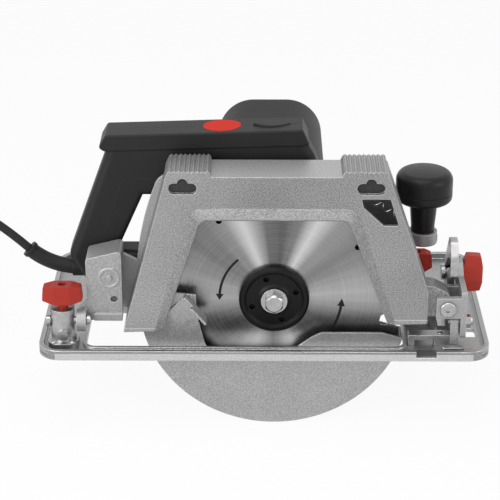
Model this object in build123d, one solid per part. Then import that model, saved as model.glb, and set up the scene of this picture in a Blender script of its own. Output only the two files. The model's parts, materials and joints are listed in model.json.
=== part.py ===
"""Hand-held circular saw with a 200 mm blade, a tilting and plunging shoe and a sprung lower guard.

Frame, in millimetres: +X forward along the cut, +Y from the blade to the motor, +Z up.
The origin lies on the sole plane, under the arbor, in the middle plane of the blade.
"""
import os
from math import atan2, cos, degrees, hypot, pi, radians, sin, sqrt, tan

from build123d import *

os.makedirs("parts", exist_ok=True)

# Driving dimensions: blade and drive
BLADE_DIAMETER = 200.0
BLADE_THICK = 2.0
BLADE_BORE = 16.0
BLADE_TEETH = 24
TOOTH_DEPTH = 13.0
TIP_THICK = 2.8
ARBOR_HEIGHT = 39.0
FLANGE_RADIUS = 28.0
FLANGE_THICK = 6.0
INNER_FLANGE_RADIUS = 24.0
INNER_FLANGE_THICK = 5.0
BOLT_THREAD_RADIUS = 4.0
BOLT_HEAD_ACROSS = 14.0
SPINDLE_RADIUS = 8.0
GEAR_MODULE = 1.25
PINION_TEETH = 12
WHEEL_TEETH = 44
GEAR_WIDTH = 12.0
MOTOR_OFFSET_X = -3.0

# Driving dimensions: guards and housings
GUARD_NEAR = -20.0
GUARD_FAR = 18.5
GUARD_WALL = 2.0
GUARD_TOP = 149.0
GUARD_FAR_WALL = 2.5
LOWER_GUARD_ROOM = 7.4
LOWER_GUARD_WALL = 2.0
LOWER_GUARD_HALF_WIDTH = 11.0
NOSE_RADIUS = 20.0
GEARBOX_BACK = 56.0
GEARBOX_WALL = 3.0
MOTOR_BACK = 150.0
CAP_BACK = 180.0
MOTOR_HALF_WIDTH = 44.0
MOTOR_TOP = 147.0
MOTOR_BOTTOM = 28.0
MOTOR_WALL = 3.0

# Driving dimensions: shoe and its hinges
BASE_REAR = -187.0
BASE_FRONT = 171.0
BASE_NEAR = -36.0
BASE_FAR = 161.0
BASE_SHEET = 3.0
BASE_RIM_HEIGHT = 8.0
BASE_RIM_WIDTH = 3.5
BASE_CORNER = 18.0
OPENING_REAR = -150.0
OPENING_FRONT = 103.5
OPENING_NEAR = -19.0
OPENING_FAR = 50.0
TILT_Y = -9.0
TILT_Z = 22.5
TILT_PIN_RADIUS = 3.0
DEPTH_X = 137.0
DEPTH_Z = 38.0
DEPTH_PIN_RADIUS = 4.0
DEPTH_SWING = 24.0
TILT_SWING = 45.0

# Driving dimensions: handle and knob
HANDLE_NEAR = 24.0
HANDLE_FAR = 56.0
KNOB_X = 121.0
KNOB_Y = 50.0
KNOB_RADIUS = 23.0
WING_SPAN = 32.0

# Clearances
RUN_CLEAR = 0.05
BODY_GAP = 0.5

# Derived places
GEAR_DISTANCE = GEAR_MODULE * (PINION_TEETH + WHEEL_TEETH) / 2
MOTOR_X = MOTOR_OFFSET_X
MOTOR_Z = ARBOR_HEIGHT + sqrt(GEAR_DISTANCE**2 - MOTOR_OFFSET_X**2)
HANDLE_MID = (HANDLE_NEAR + HANDLE_FAR) / 2
BLADE_RADIUS = BLADE_DIAMETER / 2
LOWER_GUARD_RADIUS = BLADE_RADIUS + LOWER_GUARD_ROOM
FLOOR = ARBOR_HEIGHT - LOWER_GUARD_RADIUS


def outline(points, radius=0.6):
    """Closed face through corner points, each corner rounded by a radius."""
    radii = [radius] * len(points) if isinstance(radius, (int, float)) else radius
    return make_face(FilletPolyline(*points, radius=radii, close=True))


def slab_y(face, near, far):
    """Face drawn in X and Z, made solid between two Y stations."""
    return Pos(0, far, 0) * extrude(Plane.XZ * face, far - near)


def slab_x(face, low, high):
    """Face drawn in Y and Z, made solid between two X stations."""
    return Pos(low, 0, 0) * extrude(Plane.YZ * face, high - low)


def slab_z(face, low, high):
    """Face drawn in X and Y, made solid between two heights."""
    return Pos(0, 0, low) * extrude(Plane.XY * face, high - low)


def rod_y(radius, near, far, x, z):
    return Pos(x, (near + far) / 2, z) * Rot(90, 0, 0) * Cylinder(radius, far - near)


def rod_x(radius, low, high, y, z):
    return Pos((low + high) / 2, y, z) * Rot(0, 90, 0) * Cylinder(radius, high - low)


def rod_z(radius, low, high, x, y):
    return Pos(x, y, (low + high) / 2) * Cylinder(radius, high - low)


def block(low, high):
    """Box between two corners."""
    size = [b - a for a, b in zip(low, high)]
    middle = [(a + b) / 2 for a, b in zip(low, high)]
    return Pos(*middle) * Box(*size)


def arc_slot(centre, radius, width, start, end):
    """Curved slot face about a centre, from one angle to another, with round ends."""
    middle = CenterArc(centre, radius, start, end - start)
    return make_face(offset(middle, width / 2).edges())


# Blade and what turns with it
FLANGE_FRONT = -BLADE_THICK / 2 - FLANGE_THICK
INNER_FLANGE_BACK = BLADE_THICK / 2 + INNER_FLANGE_THICK
WASHER_THICK = 1.5
WASHER_RADIUS = 10.5
BOLT_HEAD_HEIGHT = 6.5
BOLT_REACH = 18.0
TIP_SEAT = BLADE_RADIUS - 5.5
TIP_DEEP = 1.8
SPANNER_HOLE_RADIUS = 2.5
SPANNER_HOLE_CIRCLE = 18.5
FRONT_BEARING_NEAR = GUARD_FAR + 1.5
BEARING_WIDTH = 9.0
GEAR_NEAR = 31.0
GEAR_FAR = GEAR_NEAR + GEAR_WIDTH
REAR_BEARING_NEAR = GEAR_FAR + 1.5
REAR_BEARING_WIDTH = 7.0
SPINDLE_END = REAR_BEARING_NEAR + REAR_BEARING_WIDTH
BEARING_RADIUS = 15.0
REAR_BEARING_RADIUS = 13.0


def polar(radius, angle, x=0.0, z=ARBOR_HEIGHT):
    return (x + radius * cos(radians(angle)), z + radius * sin(radians(angle)))


def make_blade():
    """Toothed disc with a deep gullet ahead of each tooth and slots that let it expand."""
    pitch = 360 / BLADE_TEETH
    root = BLADE_RADIUS - TOOTH_DEPTH
    points = []
    radii = []
    for i in range(BLADE_TEETH):
        a = i * pitch
        points += [polar(BLADE_RADIUS, a), polar(TIP_SEAT, a), polar(root, a - 0.06 * pitch)]
        points += [polar(root, a + 0.3 * pitch), polar(BLADE_RADIUS - 0.2 * TOOTH_DEPTH, a + 0.62 * pitch)]
        radii += [0.3, 0.3, 0.2 * TOOTH_DEPTH, 0.2 * TOOTH_DEPTH, 1.5]
    disc = slab_y(outline(points, radii), -BLADE_THICK / 2, BLADE_THICK / 2)
    disc -= rod_y(BLADE_BORE / 2, -BLADE_THICK, BLADE_THICK, 0, ARBOR_HEIGHT)
    for i in range(4):
        a = 90 * i + 0.24 * pitch + 2 * pitch
        end = polar(root - 8, a)
        slot = Pos(0, 0, ARBOR_HEIGHT) * Rot(0, -a, 0) * block((root - 8, -5, -0.6), (root + 5, 5, 0.6))
        disc -= slot + rod_y(2.4, -5, 5, *end)
    return disc


def make_carbide_tips():
    """One small carbide plate brazed ahead of each tooth, a little wider than the disc."""
    pitch = 360 / BLADE_TEETH
    tip = block((TIP_SEAT + 0.3, -TIP_THICK / 2, 0), (BLADE_RADIUS + 0.2, TIP_THICK / 2, TIP_DEEP))
    return [Pos(0, 0, ARBOR_HEIGHT) * Rot(0, -i * pitch, 0) * tip for i in range(BLADE_TEETH)]


def make_outer_flange():
    """Pressed clamping flange: raised rim, dished middle and four holes for a pin spanner."""
    profile = [(BOLT_THREAD_RADIUS + 0.1, -BLADE_THICK / 2), (FLANGE_RADIUS, -BLADE_THICK / 2)]
    profile += [(FLANGE_RADIUS, FLANGE_FRONT + 2), (FLANGE_RADIUS - 2, FLANGE_FRONT)]
    profile += [(FLANGE_RADIUS - 4, FLANGE_FRONT), (FLANGE_RADIUS - 6, FLANGE_FRONT + 2)]
    profile += [(WASHER_RADIUS + 3, FLANGE_FRONT + 1.5), (WASHER_RADIUS + 1, FLANGE_FRONT)]
    profile += [(BOLT_THREAD_RADIUS + 0.1, FLANGE_FRONT)]
    disc = revolve(Plane.XY * make_face(Polyline(*profile, close=True)), Axis.Y)
    disc = Pos(0, 0, ARBOR_HEIGHT) * disc
    for i in range(4):
        x, z = polar(SPANNER_HOLE_CIRCLE, 90 * i + 20)
        disc -= rod_y(SPANNER_HOLE_RADIUS, FLANGE_FRONT - 1, 0, x, z)
    return disc


def make_inner_flange():
    ring = rod_y(INNER_FLANGE_RADIUS, BLADE_THICK / 2, INNER_FLANGE_BACK, 0, ARBOR_HEIGHT)
    ring += rod_y(BLADE_BORE / 2 - RUN_CLEAR, -BLADE_THICK / 2, BLADE_THICK / 2, 0, ARBOR_HEIGHT)
    return ring - rod_y(SPINDLE_RADIUS - 2, -BLADE_THICK, INNER_FLANGE_BACK + 1, 0, ARBOR_HEIGHT)


def make_blade_washer():
    ring = rod_y(WASHER_RADIUS, FLANGE_FRONT - WASHER_THICK, FLANGE_FRONT, 0, ARBOR_HEIGHT)
    return ring - rod_y(BOLT_THREAD_RADIUS + 0.1, FLANGE_FRONT - 3, 0, 0, ARBOR_HEIGHT)


def make_blade_bolt():
    """Hexagon bolt that clamps the blade to the spindle."""
    back = FLANGE_FRONT - WASHER_THICK
    face = RegularPolygon(BOLT_HEAD_ACROSS / sqrt(3), 6, rotation=30)
    head = Pos(0, 0, ARBOR_HEIGHT) * slab_y(face, back - BOLT_HEAD_HEIGHT, back)
    cone = rod_y(BOLT_HEAD_ACROSS / 2 + 0.6, back - BOLT_HEAD_HEIGHT, back, 0, ARBOR_HEIGHT)
    cone = chamfer(cone.edges().sort_by(Axis.Y)[0], 1.4)
    return (head & cone) + rod_y(BOLT_THREAD_RADIUS, back, back + BOLT_REACH, 0, ARBOR_HEIGHT)


def make_spindle():
    """Stepped spindle: nose for the flanges, bearing seats, gear seat and a threaded bore."""
    shaft = rod_y(SPINDLE_RADIUS, INNER_FLANGE_BACK, SPINDLE_END, 0, ARBOR_HEIGHT)
    shaft += rod_y(SPINDLE_RADIUS - 2, -BLADE_THICK / 2, INNER_FLANGE_BACK, 0, ARBOR_HEIGHT)
    bolt_end = FLANGE_FRONT - WASHER_THICK + BOLT_REACH
    return shaft - rod_y(BOLT_THREAD_RADIUS, -BLADE_THICK, bolt_end + 2, 0, ARBOR_HEIGHT)


def gear_face(teeth, turn, bore):
    """Spur gear outline with straight-sided teeth and a little backlash."""
    pitch_radius = GEAR_MODULE * teeth / 2
    step = 360 / teeth
    root, tip = pitch_radius - 1.2 * GEAR_MODULE, pitch_radius + 0.9 * GEAR_MODULE
    rows = [(root, 0.29), (pitch_radius, 0.21), (tip, 0.09)]
    points = []
    for i in range(teeth):
        for r, share in rows:
            points.append(polar(r, turn + step * (i - share), 0, 0))
        for r, share in reversed(rows):
            points.append(polar(r, turn + step * (i + share), 0, 0))
    return make_face(Polyline(*points, close=True)) - Circle(bore)


def ring_y(outer, inner, near, far, x, z):
    return rod_y(outer, near, far, x, z) - rod_y(inner, near - 1, far + 1, x, z)


MESH_ANGLE = degrees(atan2(MOTOR_Z - ARBOR_HEIGHT, MOTOR_X))


def make_drive_wheel():
    """Large spur gear keyed on the spindle, a tooth space pointing at the pinion."""
    face = gear_face(WHEEL_TEETH, MESH_ANGLE + 180 / WHEEL_TEETH, SPINDLE_RADIUS)
    wheel = Pos(0, 0, ARBOR_HEIGHT) * slab_y(face, GEAR_NEAR, GEAR_FAR)
    for i in range(6):
        x, z = polar(17, 60 * i)
        wheel -= rod_y(4, GEAR_NEAR - 1, GEAR_FAR + 1, x, z)
    return wheel


def make_bearing(outer, inner, near, width, x, z):
    """Sealed ball bearing: two races with a shield groove between them on both faces."""
    body = ring_y(outer, inner, near, near + width, x, z)
    middle = (outer + inner) / 2
    for y in (near, near + width):
        body -= ring_y(middle + 1.5, middle - 1.5, y - 0.6, y + 0.6, x, z)
    return body


# Lower guard, which swings on the nose of the upper guard
NOSE_FRONT = INNER_FLANGE_BACK + 0.8
HUB_NEAR = LOWER_GUARD_HALF_WIDTH - LOWER_GUARD_WALL
GUARD_END_REAR = 174.0
GUARD_END_FRONT = 343.0
RETAINER_WIDTH = 1.2
LEVER_OUT = -26.0


def sector(radius, start, end):
    """Pie-shaped face about the arbor between two angles."""
    arc = CenterArc((0, ARBOR_HEIGHT), radius, start, end - start)
    return make_face([arc, Line(arc @ 1, (0, ARBOR_HEIGHT)), Line((0, ARBOR_HEIGHT), arc @ 0)])


def make_lower_guard():
    """Two cheeks and a rim: the near cheek is cut away so that the blade flange can be reached."""
    half = LOWER_GUARD_HALF_WIDTH
    pie = sector(LOWER_GUARD_RADIUS, GUARD_END_REAR, GUARD_END_FRONT)
    shell = slab_y(pie, -half, half)
    inside = sector(LOWER_GUARD_RADIUS - LOWER_GUARD_WALL, GUARD_END_REAR - 5, GUARD_END_FRONT + 5)
    shell -= slab_y(inside, LOWER_GUARD_WALL - half, half - LOWER_GUARD_WALL)
    mouth = [(-62, 60), (-62, 30), (-55, 1), (-46, -8), (14, -8), (20, 1), (31, 9), (38, 12.5)]
    mouth += [(101, 12.5), (125, -8), (125, 60)]
    shell -= slab_y(outline(mouth, [1, 6, 12, 8, 8, 3, 5, 3, 2, 1, 1]), -half - 1, LOWER_GUARD_WALL - half)
    hub = ring_y(NOSE_RADIUS + 9, NOSE_RADIUS + RUN_CLEAR, HUB_NEAR, half, 0, ARBOR_HEIGHT)
    shell -= rod_y(NOSE_RADIUS + RUN_CLEAR, HUB_NEAR - 1, half + 1, 0, ARBOR_HEIGHT)
    shell += hub
    return shell


def make_guard_lever():
    """Folded finger lever, riveted to the near cheek, whose blade stands out of the window."""
    near = -LOWER_GUARD_HALF_WIDTH
    pad = Pos(-73, 0, 31) * slab_y(Rot(0, 0, 45) * RectangleRounded(19, 17, 2), near - 1.5, near)
    web = [(-71.5, 46.2), (-70.2, 47.3), (-53.4, 27.2), (-54.7, 26.1)]
    fin = slab_y(make_face(Polyline(*web, close=True)), LEVER_OUT, near - 0.7)
    fin -= block((-75, LEVER_OUT - 1, 40), (-60, LEVER_OUT + 6, 50))
    corners = [(-74, 33), (-71.5, 46.2), (-54.7, 26.1), (-67, 24)]
    bridge = slab_y(make_face(Polyline(*corners, close=True)), near - 1.5, near)
    return pad + bridge + fin


def make_guard_retainer():
    """Snap ring in the groove of the nose, which keeps the lower guard on it."""
    far = HUB_NEAR - 0.2
    ring = ring_y(NOSE_RADIUS + 2.2, NOSE_RADIUS - 1.2, far - RETAINER_WIDTH, far, 0, ARBOR_HEIGHT)
    return ring - block((-2, far - 3, ARBOR_HEIGHT), (2, far + 1, ARBOR_HEIGHT + 30))


# Upper guard casting
LEG_REAR_FOOT = 17.0
LEG_FRONT_FOOT = 25.0
PAD_RISE = 5.0
PAD_RIBS = 9
WINDOW_TOP = 111.5
LIP_INNER = -16.5
FAR_WALL_NEAR = GUARD_FAR - GUARD_FAR_WALL
TONGUE_NEAR = -14.5
TONGUE_FAR = 3.0
TONGUE_RADIUS = 8.5
REAR_FLANK = ((-119.5, LEG_REAR_FOOT), (-84.0, GUARD_TOP))
GUARD_SCREWS = ((-26, 92), (24, 92), (-28, 54), (28, 54))
GUARD_SCREW_RADIUS = 2.4
GUARD_SCREW_END = GEAR_NEAR - 2
DEPTH_STUD = (-98.0, 27.0)
STUD_RADIUS = 3.5
FRONT_FLANK = ((88.0, GUARD_TOP), (118.5, 60.0), (121.0, 53.0), (121.0, LEG_FRONT_FOOT))


def pad_top(left, right):
    """Serrated raised pad on the top edge, with a saw-tooth pattern of ribs across it."""
    step = (right - left) / PAD_RIBS
    points = [(left - 3, GUARD_TOP - 3)]
    for i in range(PAD_RIBS):
        x = left + i * step
        points += [(x, GUARD_TOP + PAD_RISE - 1.4), (x + step / 2, GUARD_TOP + PAD_RISE)]
    points += [(right, GUARD_TOP + PAD_RISE - 1.4), (right + 1.5, GUARD_TOP - 3)]
    return slab_y(make_face(Polyline(*points, close=True)), GUARD_NEAR, GUARD_FAR)


def make_upper_guard():
    """Cast cover round the upper half of the blade, open below, with a wide bevelled window."""
    outer = [REAR_FLANK[0], REAR_FLANK[1], *FRONT_FLANK]
    body = slab_y(outline(outer, [0.8, 2, 2, 6, 4, 0.8]), GUARD_NEAR, GUARD_FAR)
    w = GUARD_WALL
    inner = [(REAR_FLANK[0][0] + w, -20), (REAR_FLANK[0][0] + w, LEG_REAR_FOOT)]
    inner += [(REAR_FLANK[1][0] + w, GUARD_TOP - w), (FRONT_FLANK[0][0] - w, GUARD_TOP - w)]
    inner += [(FRONT_FLANK[1][0] - w, 60), (FRONT_FLANK[2][0] - w, 53), (FRONT_FLANK[3][0] - w, -20)]
    body -= slab_y(make_face(Polyline(*inner, close=True)), LIP_INNER, FAR_WALL_NEAR)
    body += pad_top(-82.5, -50) + pad_top(53, 86.5)
    small = [(-89, LEG_REAR_FOOT - 2), (-57.5, WINDOW_TOP), (57.5, WINDOW_TOP), (90, LEG_FRONT_FOOT - 2)]
    large = [(-96, LEG_REAR_FOOT - 2), (-66, WINDOW_TOP + 12)]
    large += [(64, WINDOW_TOP + 12), (97, LEG_FRONT_FOOT - 2)]
    front = Plane.XZ.offset(-GUARD_NEAR - 0.01)
    back = Plane.XZ.offset(-LIP_INNER - 0.01)
    window = loft([front * outline(large, [2, 10, 10, 2]), back * outline(small, [2, 8, 8, 2])], ruled=True)
    mouth = outline([(-89, -20), small[0], small[1], small[2], small[3], (90, -20)], [2, 2, 8, 8, 2, 2])
    through = slab_y(mouth, GUARD_NEAR - 1, LIP_INNER + 0.1)
    body -= window + through
    for x in (-71, 74):
        body -= slab_y(Pos(x, 139.5) * SlotOverall(22, 9), GUARD_NEAR - 1, GUARD_NEAR + 2.5)
        body -= rod_y(4.2, GUARD_NEAR - 1, GUARD_NEAR + 2.5, x, 143.5)
    opening = [(67, 131), (89, 131), (96, 109), (84.5, 109), (68.5, 124)]
    body -= slab_y(outline(opening, [1, 1, 1, 1, 4]), GUARD_NEAR - 1, LIP_INNER + 0.1)
    tongue = [(116, 29), (116, 56), (DEPTH_X - 11, 55), (DEPTH_X, DEPTH_Z + TONGUE_RADIUS + 3)]
    tongue += [(DEPTH_X + 6, DEPTH_Z), (DEPTH_X, DEPTH_Z - TONGUE_RADIUS)]
    arm = slab_y(outline(tongue, [1, 1, 6, 8, 5, 5]), TONGUE_NEAR, TONGUE_FAR)
    body += arm
    body -= rod_y(DEPTH_PIN_RADIUS + RUN_CLEAR, TONGUE_NEAR - 1, TONGUE_FAR + 1, DEPTH_X, DEPTH_Z)
    nose = ring_y(NOSE_RADIUS, SPINDLE_RADIUS + 4, NOSE_FRONT, FAR_WALL_NEAR + 0.5, 0, ARBOR_HEIGHT)
    body += nose
    groove_near = HUB_NEAR - 0.3 - RETAINER_WIDTH
    body -= ring_y(NOSE_RADIUS + 1, NOSE_RADIUS - 1.3, groove_near, HUB_NEAR - 0.1, 0, ARBOR_HEIGHT)
    body -= rod_y(STUD_RADIUS, FAR_WALL_NEAR - 1, GUARD_FAR + 1, *DEPTH_STUD)
    for x, z in GUARD_SCREWS:
        body -= rod_y(GUARD_SCREW_RADIUS, FAR_WALL_NEAR - 1, GUARD_FAR + 1, x, z)
    return body - rod_y(SPINDLE_RADIUS + 4, 0, GUARD_FAR + 1, 0, ARBOR_HEIGHT)


# Shoe
OPENING_RIM = 3.0
OPENING_RIM_HEIGHT = 4.5
POST_X = -168.0
POST_RADIUS = 10.0
POST_TOP = 34.0
FENCE_X = 120.0
FENCE_BAR_WIDTH = 16.0
FENCE_BAR_HEIGHT = 5.0
FENCE_CLAMP_X = FENCE_X - 4.5
FENCE_CLAMP_Y = 32.25
FENCE_BLOCK_TOP = 45.0
FENCE_WING_SPAN = 25.2
FENCE_WING_DEPTH = 12.0
QUADRANT_NEAR_X = DEPTH_X + 2
QUADRANT_THICK = 6.0
STUD_Y = 30.0
STUD_Z = 48.0
LUG_X = (DEPTH_X + 3, DEPTH_X + 9.5)
LUG_RADIUS = 5.5
YOKE_WALL_X = (DEPTH_X + 10.5, DEPTH_X + 15)
YOKE_NEAR = -20.0
YOKE_FAR = 8.5
BARREL_X = (-157.0, -149.5)
WING_SCREW_RADIUS = 4.0
WING_FRONT_X = YOKE_WALL_X[1] + BODY_GAP


def base_outline(inset=0.0):
    size_x = BASE_FRONT - BASE_REAR - 2 * inset
    size_y = BASE_FAR - BASE_NEAR - 2 * inset
    centre = ((BASE_FRONT + BASE_REAR) / 2, (BASE_FAR + BASE_NEAR) / 2)
    return Pos(*centre) * RectangleRounded(size_x, size_y, BASE_CORNER - inset)


def opening_outline(grow=0.0):
    size_x = OPENING_FRONT - OPENING_REAR + 2 * grow
    size_y = OPENING_FAR - OPENING_NEAR + 2 * grow
    centre = ((OPENING_FRONT + OPENING_REAR) / 2, (OPENING_FAR + OPENING_NEAR) / 2)
    return Pos(*centre) * RectangleRounded(size_x, size_y, 8 + grow)


def make_base_plate():
    """Pressed shoe: sheet with a turned-up rim, a rim round the blade opening and long beads."""
    plate = slab_z(base_outline(), 0, BASE_SHEET)
    plate += slab_z(base_outline() - base_outline(BASE_RIM_WIDTH), 0, BASE_RIM_HEIGHT)
    plate += slab_z(opening_outline(OPENING_RIM), 0, OPENING_RIM_HEIGHT)
    plate -= slab_z(opening_outline(), -1, BASE_RIM_HEIGHT + 1)
    for y in (OPENING_FAR + 25, OPENING_FAR + 50, OPENING_FAR + 75):
        plate += slab_z(Pos(-20, y) * SlotOverall(200, 8), 0, BASE_SHEET + 2)
    plate += slab_z(Pos(142, -22) * SlotOverall(18, 5), 0, BASE_SHEET + 3)
    plate -= slab_z(Pos(158, 9) * RectangleRounded(10, 15, 2), -1, BASE_SHEET + 1)
    half = FENCE_BAR_WIDTH / 2
    for y in (BASE_NEAR, BASE_FAR):
        low = (FENCE_X - half, y - BASE_RIM_WIDTH - 0.5, BASE_SHEET)
        plate -= block(low, (FENCE_X + half, y + BASE_RIM_WIDTH + 0.5, BASE_RIM_HEIGHT + 1))
    return plate


def make_fence_bridge():
    """Bridge on the shoe that guides the bar of a rip fence."""
    half = FENCE_BAR_WIDTH / 2
    legs = [(FENCE_X - half - 5, BASE_SHEET), (FENCE_X - half - 5, BASE_SHEET + FENCE_BAR_HEIGHT + 4)]
    legs += [(FENCE_X + half + 12, BASE_SHEET + FENCE_BAR_HEIGHT + 4), (FENCE_X + half + 12, BASE_SHEET)]
    body = slab_y(outline(legs, 0.8), -14, -4)
    bar = block((FENCE_X - half, -20, BASE_SHEET), (FENCE_X + half, 0, BASE_SHEET + FENCE_BAR_HEIGHT))
    return body - bar


def make_fence_block():
    """Block with a column between the guard and the arm, where a wing screw clamps the fence bar."""
    half = FENCE_BAR_WIDTH / 2
    low = (FENCE_X - half - 5, FENCE_CLAMP_Y - 11, BASE_SHEET)
    high = (FENCE_X + half + 4, FENCE_CLAMP_Y + 11, BASE_SHEET + FENCE_BAR_HEIGHT + 6)
    body = block(low, high)
    body += rod_z(8, high[2], FENCE_BLOCK_TOP, FENCE_CLAMP_X, FENCE_CLAMP_Y)
    bar_low = (FENCE_X - half, low[1] - 1, BASE_SHEET)
    body -= block(bar_low, (FENCE_X + half, high[1] + 1, BASE_SHEET + FENCE_BAR_HEIGHT))
    bore = WING_SCREW_RADIUS + 0.3
    return body - rod_z(bore, BASE_SHEET, FENCE_BLOCK_TOP + 1, FENCE_CLAMP_X, FENCE_CLAMP_Y)


def make_rear_post():
    """Hinge post on the shoe: round column, flat-sided eye for the pin and a screw boss."""
    post = rod_z(POST_RADIUS, BASE_SHEET, POST_TOP, POST_X, TILT_Y)
    post -= block((POST_X + 8.6, TILT_Y - 20, 10), (POST_X + 30, TILT_Y + 20, POST_TOP + 1))
    foot = slab_z(Pos(POST_X, TILT_Y - 2) * RectangleRounded(24, 27, 9), BASE_SHEET, BASE_SHEET + 5)
    post += foot
    post += rod_y(4.5, TILT_Y - 12, TILT_Y, POST_X, 14)
    post -= rod_x(TILT_PIN_RADIUS, POST_X - 20, POST_X + 20, TILT_Y, TILT_Z)
    return post - rod_z(WING_SCREW_RADIUS + 0.3, TILT_Z + TILT_PIN_RADIUS + 0.4, POST_TOP + 1, POST_X, TILT_Y)


def make_front_lug():
    """Ear on the shoe that carries the front tilt pin."""
    face = [(TILT_Y - 9, BASE_SHEET), (TILT_Y - LUG_RADIUS, TILT_Z + LUG_RADIUS)]
    face += [(TILT_Y + LUG_RADIUS, TILT_Z + LUG_RADIUS), (TILT_Y + 9, BASE_SHEET)]
    ear = slab_x(outline(face, [0.8, LUG_RADIUS - 1, LUG_RADIUS - 1, 0.8]), *LUG_X)
    return ear - rod_x(TILT_PIN_RADIUS, LUG_X[0] - 1, LUG_X[1] + 1, TILT_Y, TILT_Z)


def make_tilt_pins():
    """Rear and front tilt pins on one axis, each with a head or nut at its end."""
    rear = rod_x(TILT_PIN_RADIUS, POST_X - 12, BARREL_X[1] + 3.5, TILT_Y, TILT_Z)
    rear += rod_x(5, POST_X - 13.5, POST_X - 10.2, TILT_Y, TILT_Z)
    rear += rod_x(4.4, BARREL_X[1] + BODY_GAP, BARREL_X[1] + 3, TILT_Y, TILT_Z)
    front = rod_x(TILT_PIN_RADIUS, LUG_X[0] - 1, YOKE_WALL_X[1] + 6, TILT_Y, TILT_Z)
    wall = YOKE_WALL_X[1]
    nut = Pos(0, TILT_Y, TILT_Z) * slab_x(RegularPolygon(5.5, 6), wall + BODY_GAP, wall + 4.5)
    return [rear, front + nut]


def make_tilt_quadrant():
    """Upright quadrant plate on the shoe, with the curved slot of the tilt clamp."""
    low, high = QUADRANT_NEAR_X, QUADRANT_NEAR_X + QUADRANT_THICK
    corners = [(14, BASE_SHEET), (14, 53), (-8, 58), (-8, 76), (1, 87), (12, 87), (37, 58), (37, BASE_SHEET)]
    plate = slab_x(outline(corners, [1, 6, 5, 6, 5, 6, 12, 1]), low, high)
    reach = hypot(STUD_Y - TILT_Y, STUD_Z - TILT_Z)
    start = degrees(atan2(STUD_Z - TILT_Z, STUD_Y - TILT_Y))
    slot = arc_slot((TILT_Y, TILT_Z), reach, 2 * STUD_RADIUS + 1, start, start + TILT_SWING)
    plate -= slab_x(slot, low - 1, high + 1)
    foot = block((low - 6, 14, BASE_SHEET), (high, 37, BASE_SHEET + 4))
    return plate + foot


# Tilting frame between the shoe and the saw
BARREL_RADIUS = 9.0
BRACKET_FAR = 22.5
BRACKET_NEAR = -4.0
BRACKET_WALL = 4.0
DEPTH_PLATE_NEAR = 19.2


def make_front_yoke():
    """Fork that takes the tongue of the guard, with an ear for the tilt clamp."""
    low, high = YOKE_WALL_X
    wall = [(YOKE_NEAR, 12), (YOKE_NEAR, 52), (12, 52), (22, 60), (38, 60), (38, 38)]
    wall += [(20, 36), (YOKE_FAR, 30), (YOKE_FAR, 12)]
    body = slab_x(outline(wall, [3, 2, 3, 4, 8, 8, 4, 3, 3]), low, high)
    for near, far in ((YOKE_NEAR, TONGUE_NEAR - BODY_GAP), (TONGUE_FAR + BODY_GAP, YOKE_FAR)):
        arm = [(DEPTH_X - 9, 29.5), (DEPTH_X - 9, 47), (high - 1, 47), (high - 1, 29.5)]
        body += slab_y(outline(arm, 1.0), near, far)
    body -= rod_x(TILT_PIN_RADIUS + RUN_CLEAR, low - 1, high + 1, TILT_Y, TILT_Z)
    body -= rod_x(STUD_RADIUS, low - 1, high + 1, STUD_Y, STUD_Z)
    return body - rod_y(DEPTH_PIN_RADIUS, YOKE_NEAR - 1, YOKE_FAR + 1, DEPTH_X, DEPTH_Z)


def make_depth_pivot():
    """Screw through the fork and the tongue, on which the saw plunges."""
    shank = rod_y(DEPTH_PIN_RADIUS, YOKE_NEAR, YOKE_FAR + 2, DEPTH_X, DEPTH_Z)
    head = rod_y(6.5, YOKE_NEAR - 3, YOKE_NEAR, DEPTH_X, DEPTH_Z)
    head = fillet(head.edges().sort_by(Axis.Y)[0], 1.2)
    socket = Pos(DEPTH_X, 0, DEPTH_Z) * slab_y(RegularPolygon(2.6, 6), YOKE_NEAR - 4, YOKE_NEAR - 1)
    nut = Pos(DEPTH_X, 0, DEPTH_Z) * slab_y(RegularPolygon(7, 6), YOKE_FAR, YOKE_FAR + 4)
    return shank + head - socket + nut


def make_tilt_stud():
    """Clamp stud of the tilt quadrant, headed by a square washer."""
    low = QUADRANT_NEAR_X - BODY_GAP
    stud = rod_x(STUD_RADIUS, low, WING_FRONT_X - 1 + 8, STUD_Y, STUD_Z)
    return stud + rod_x(6.5, low - 3, low, STUD_Y, STUD_Z)


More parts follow.
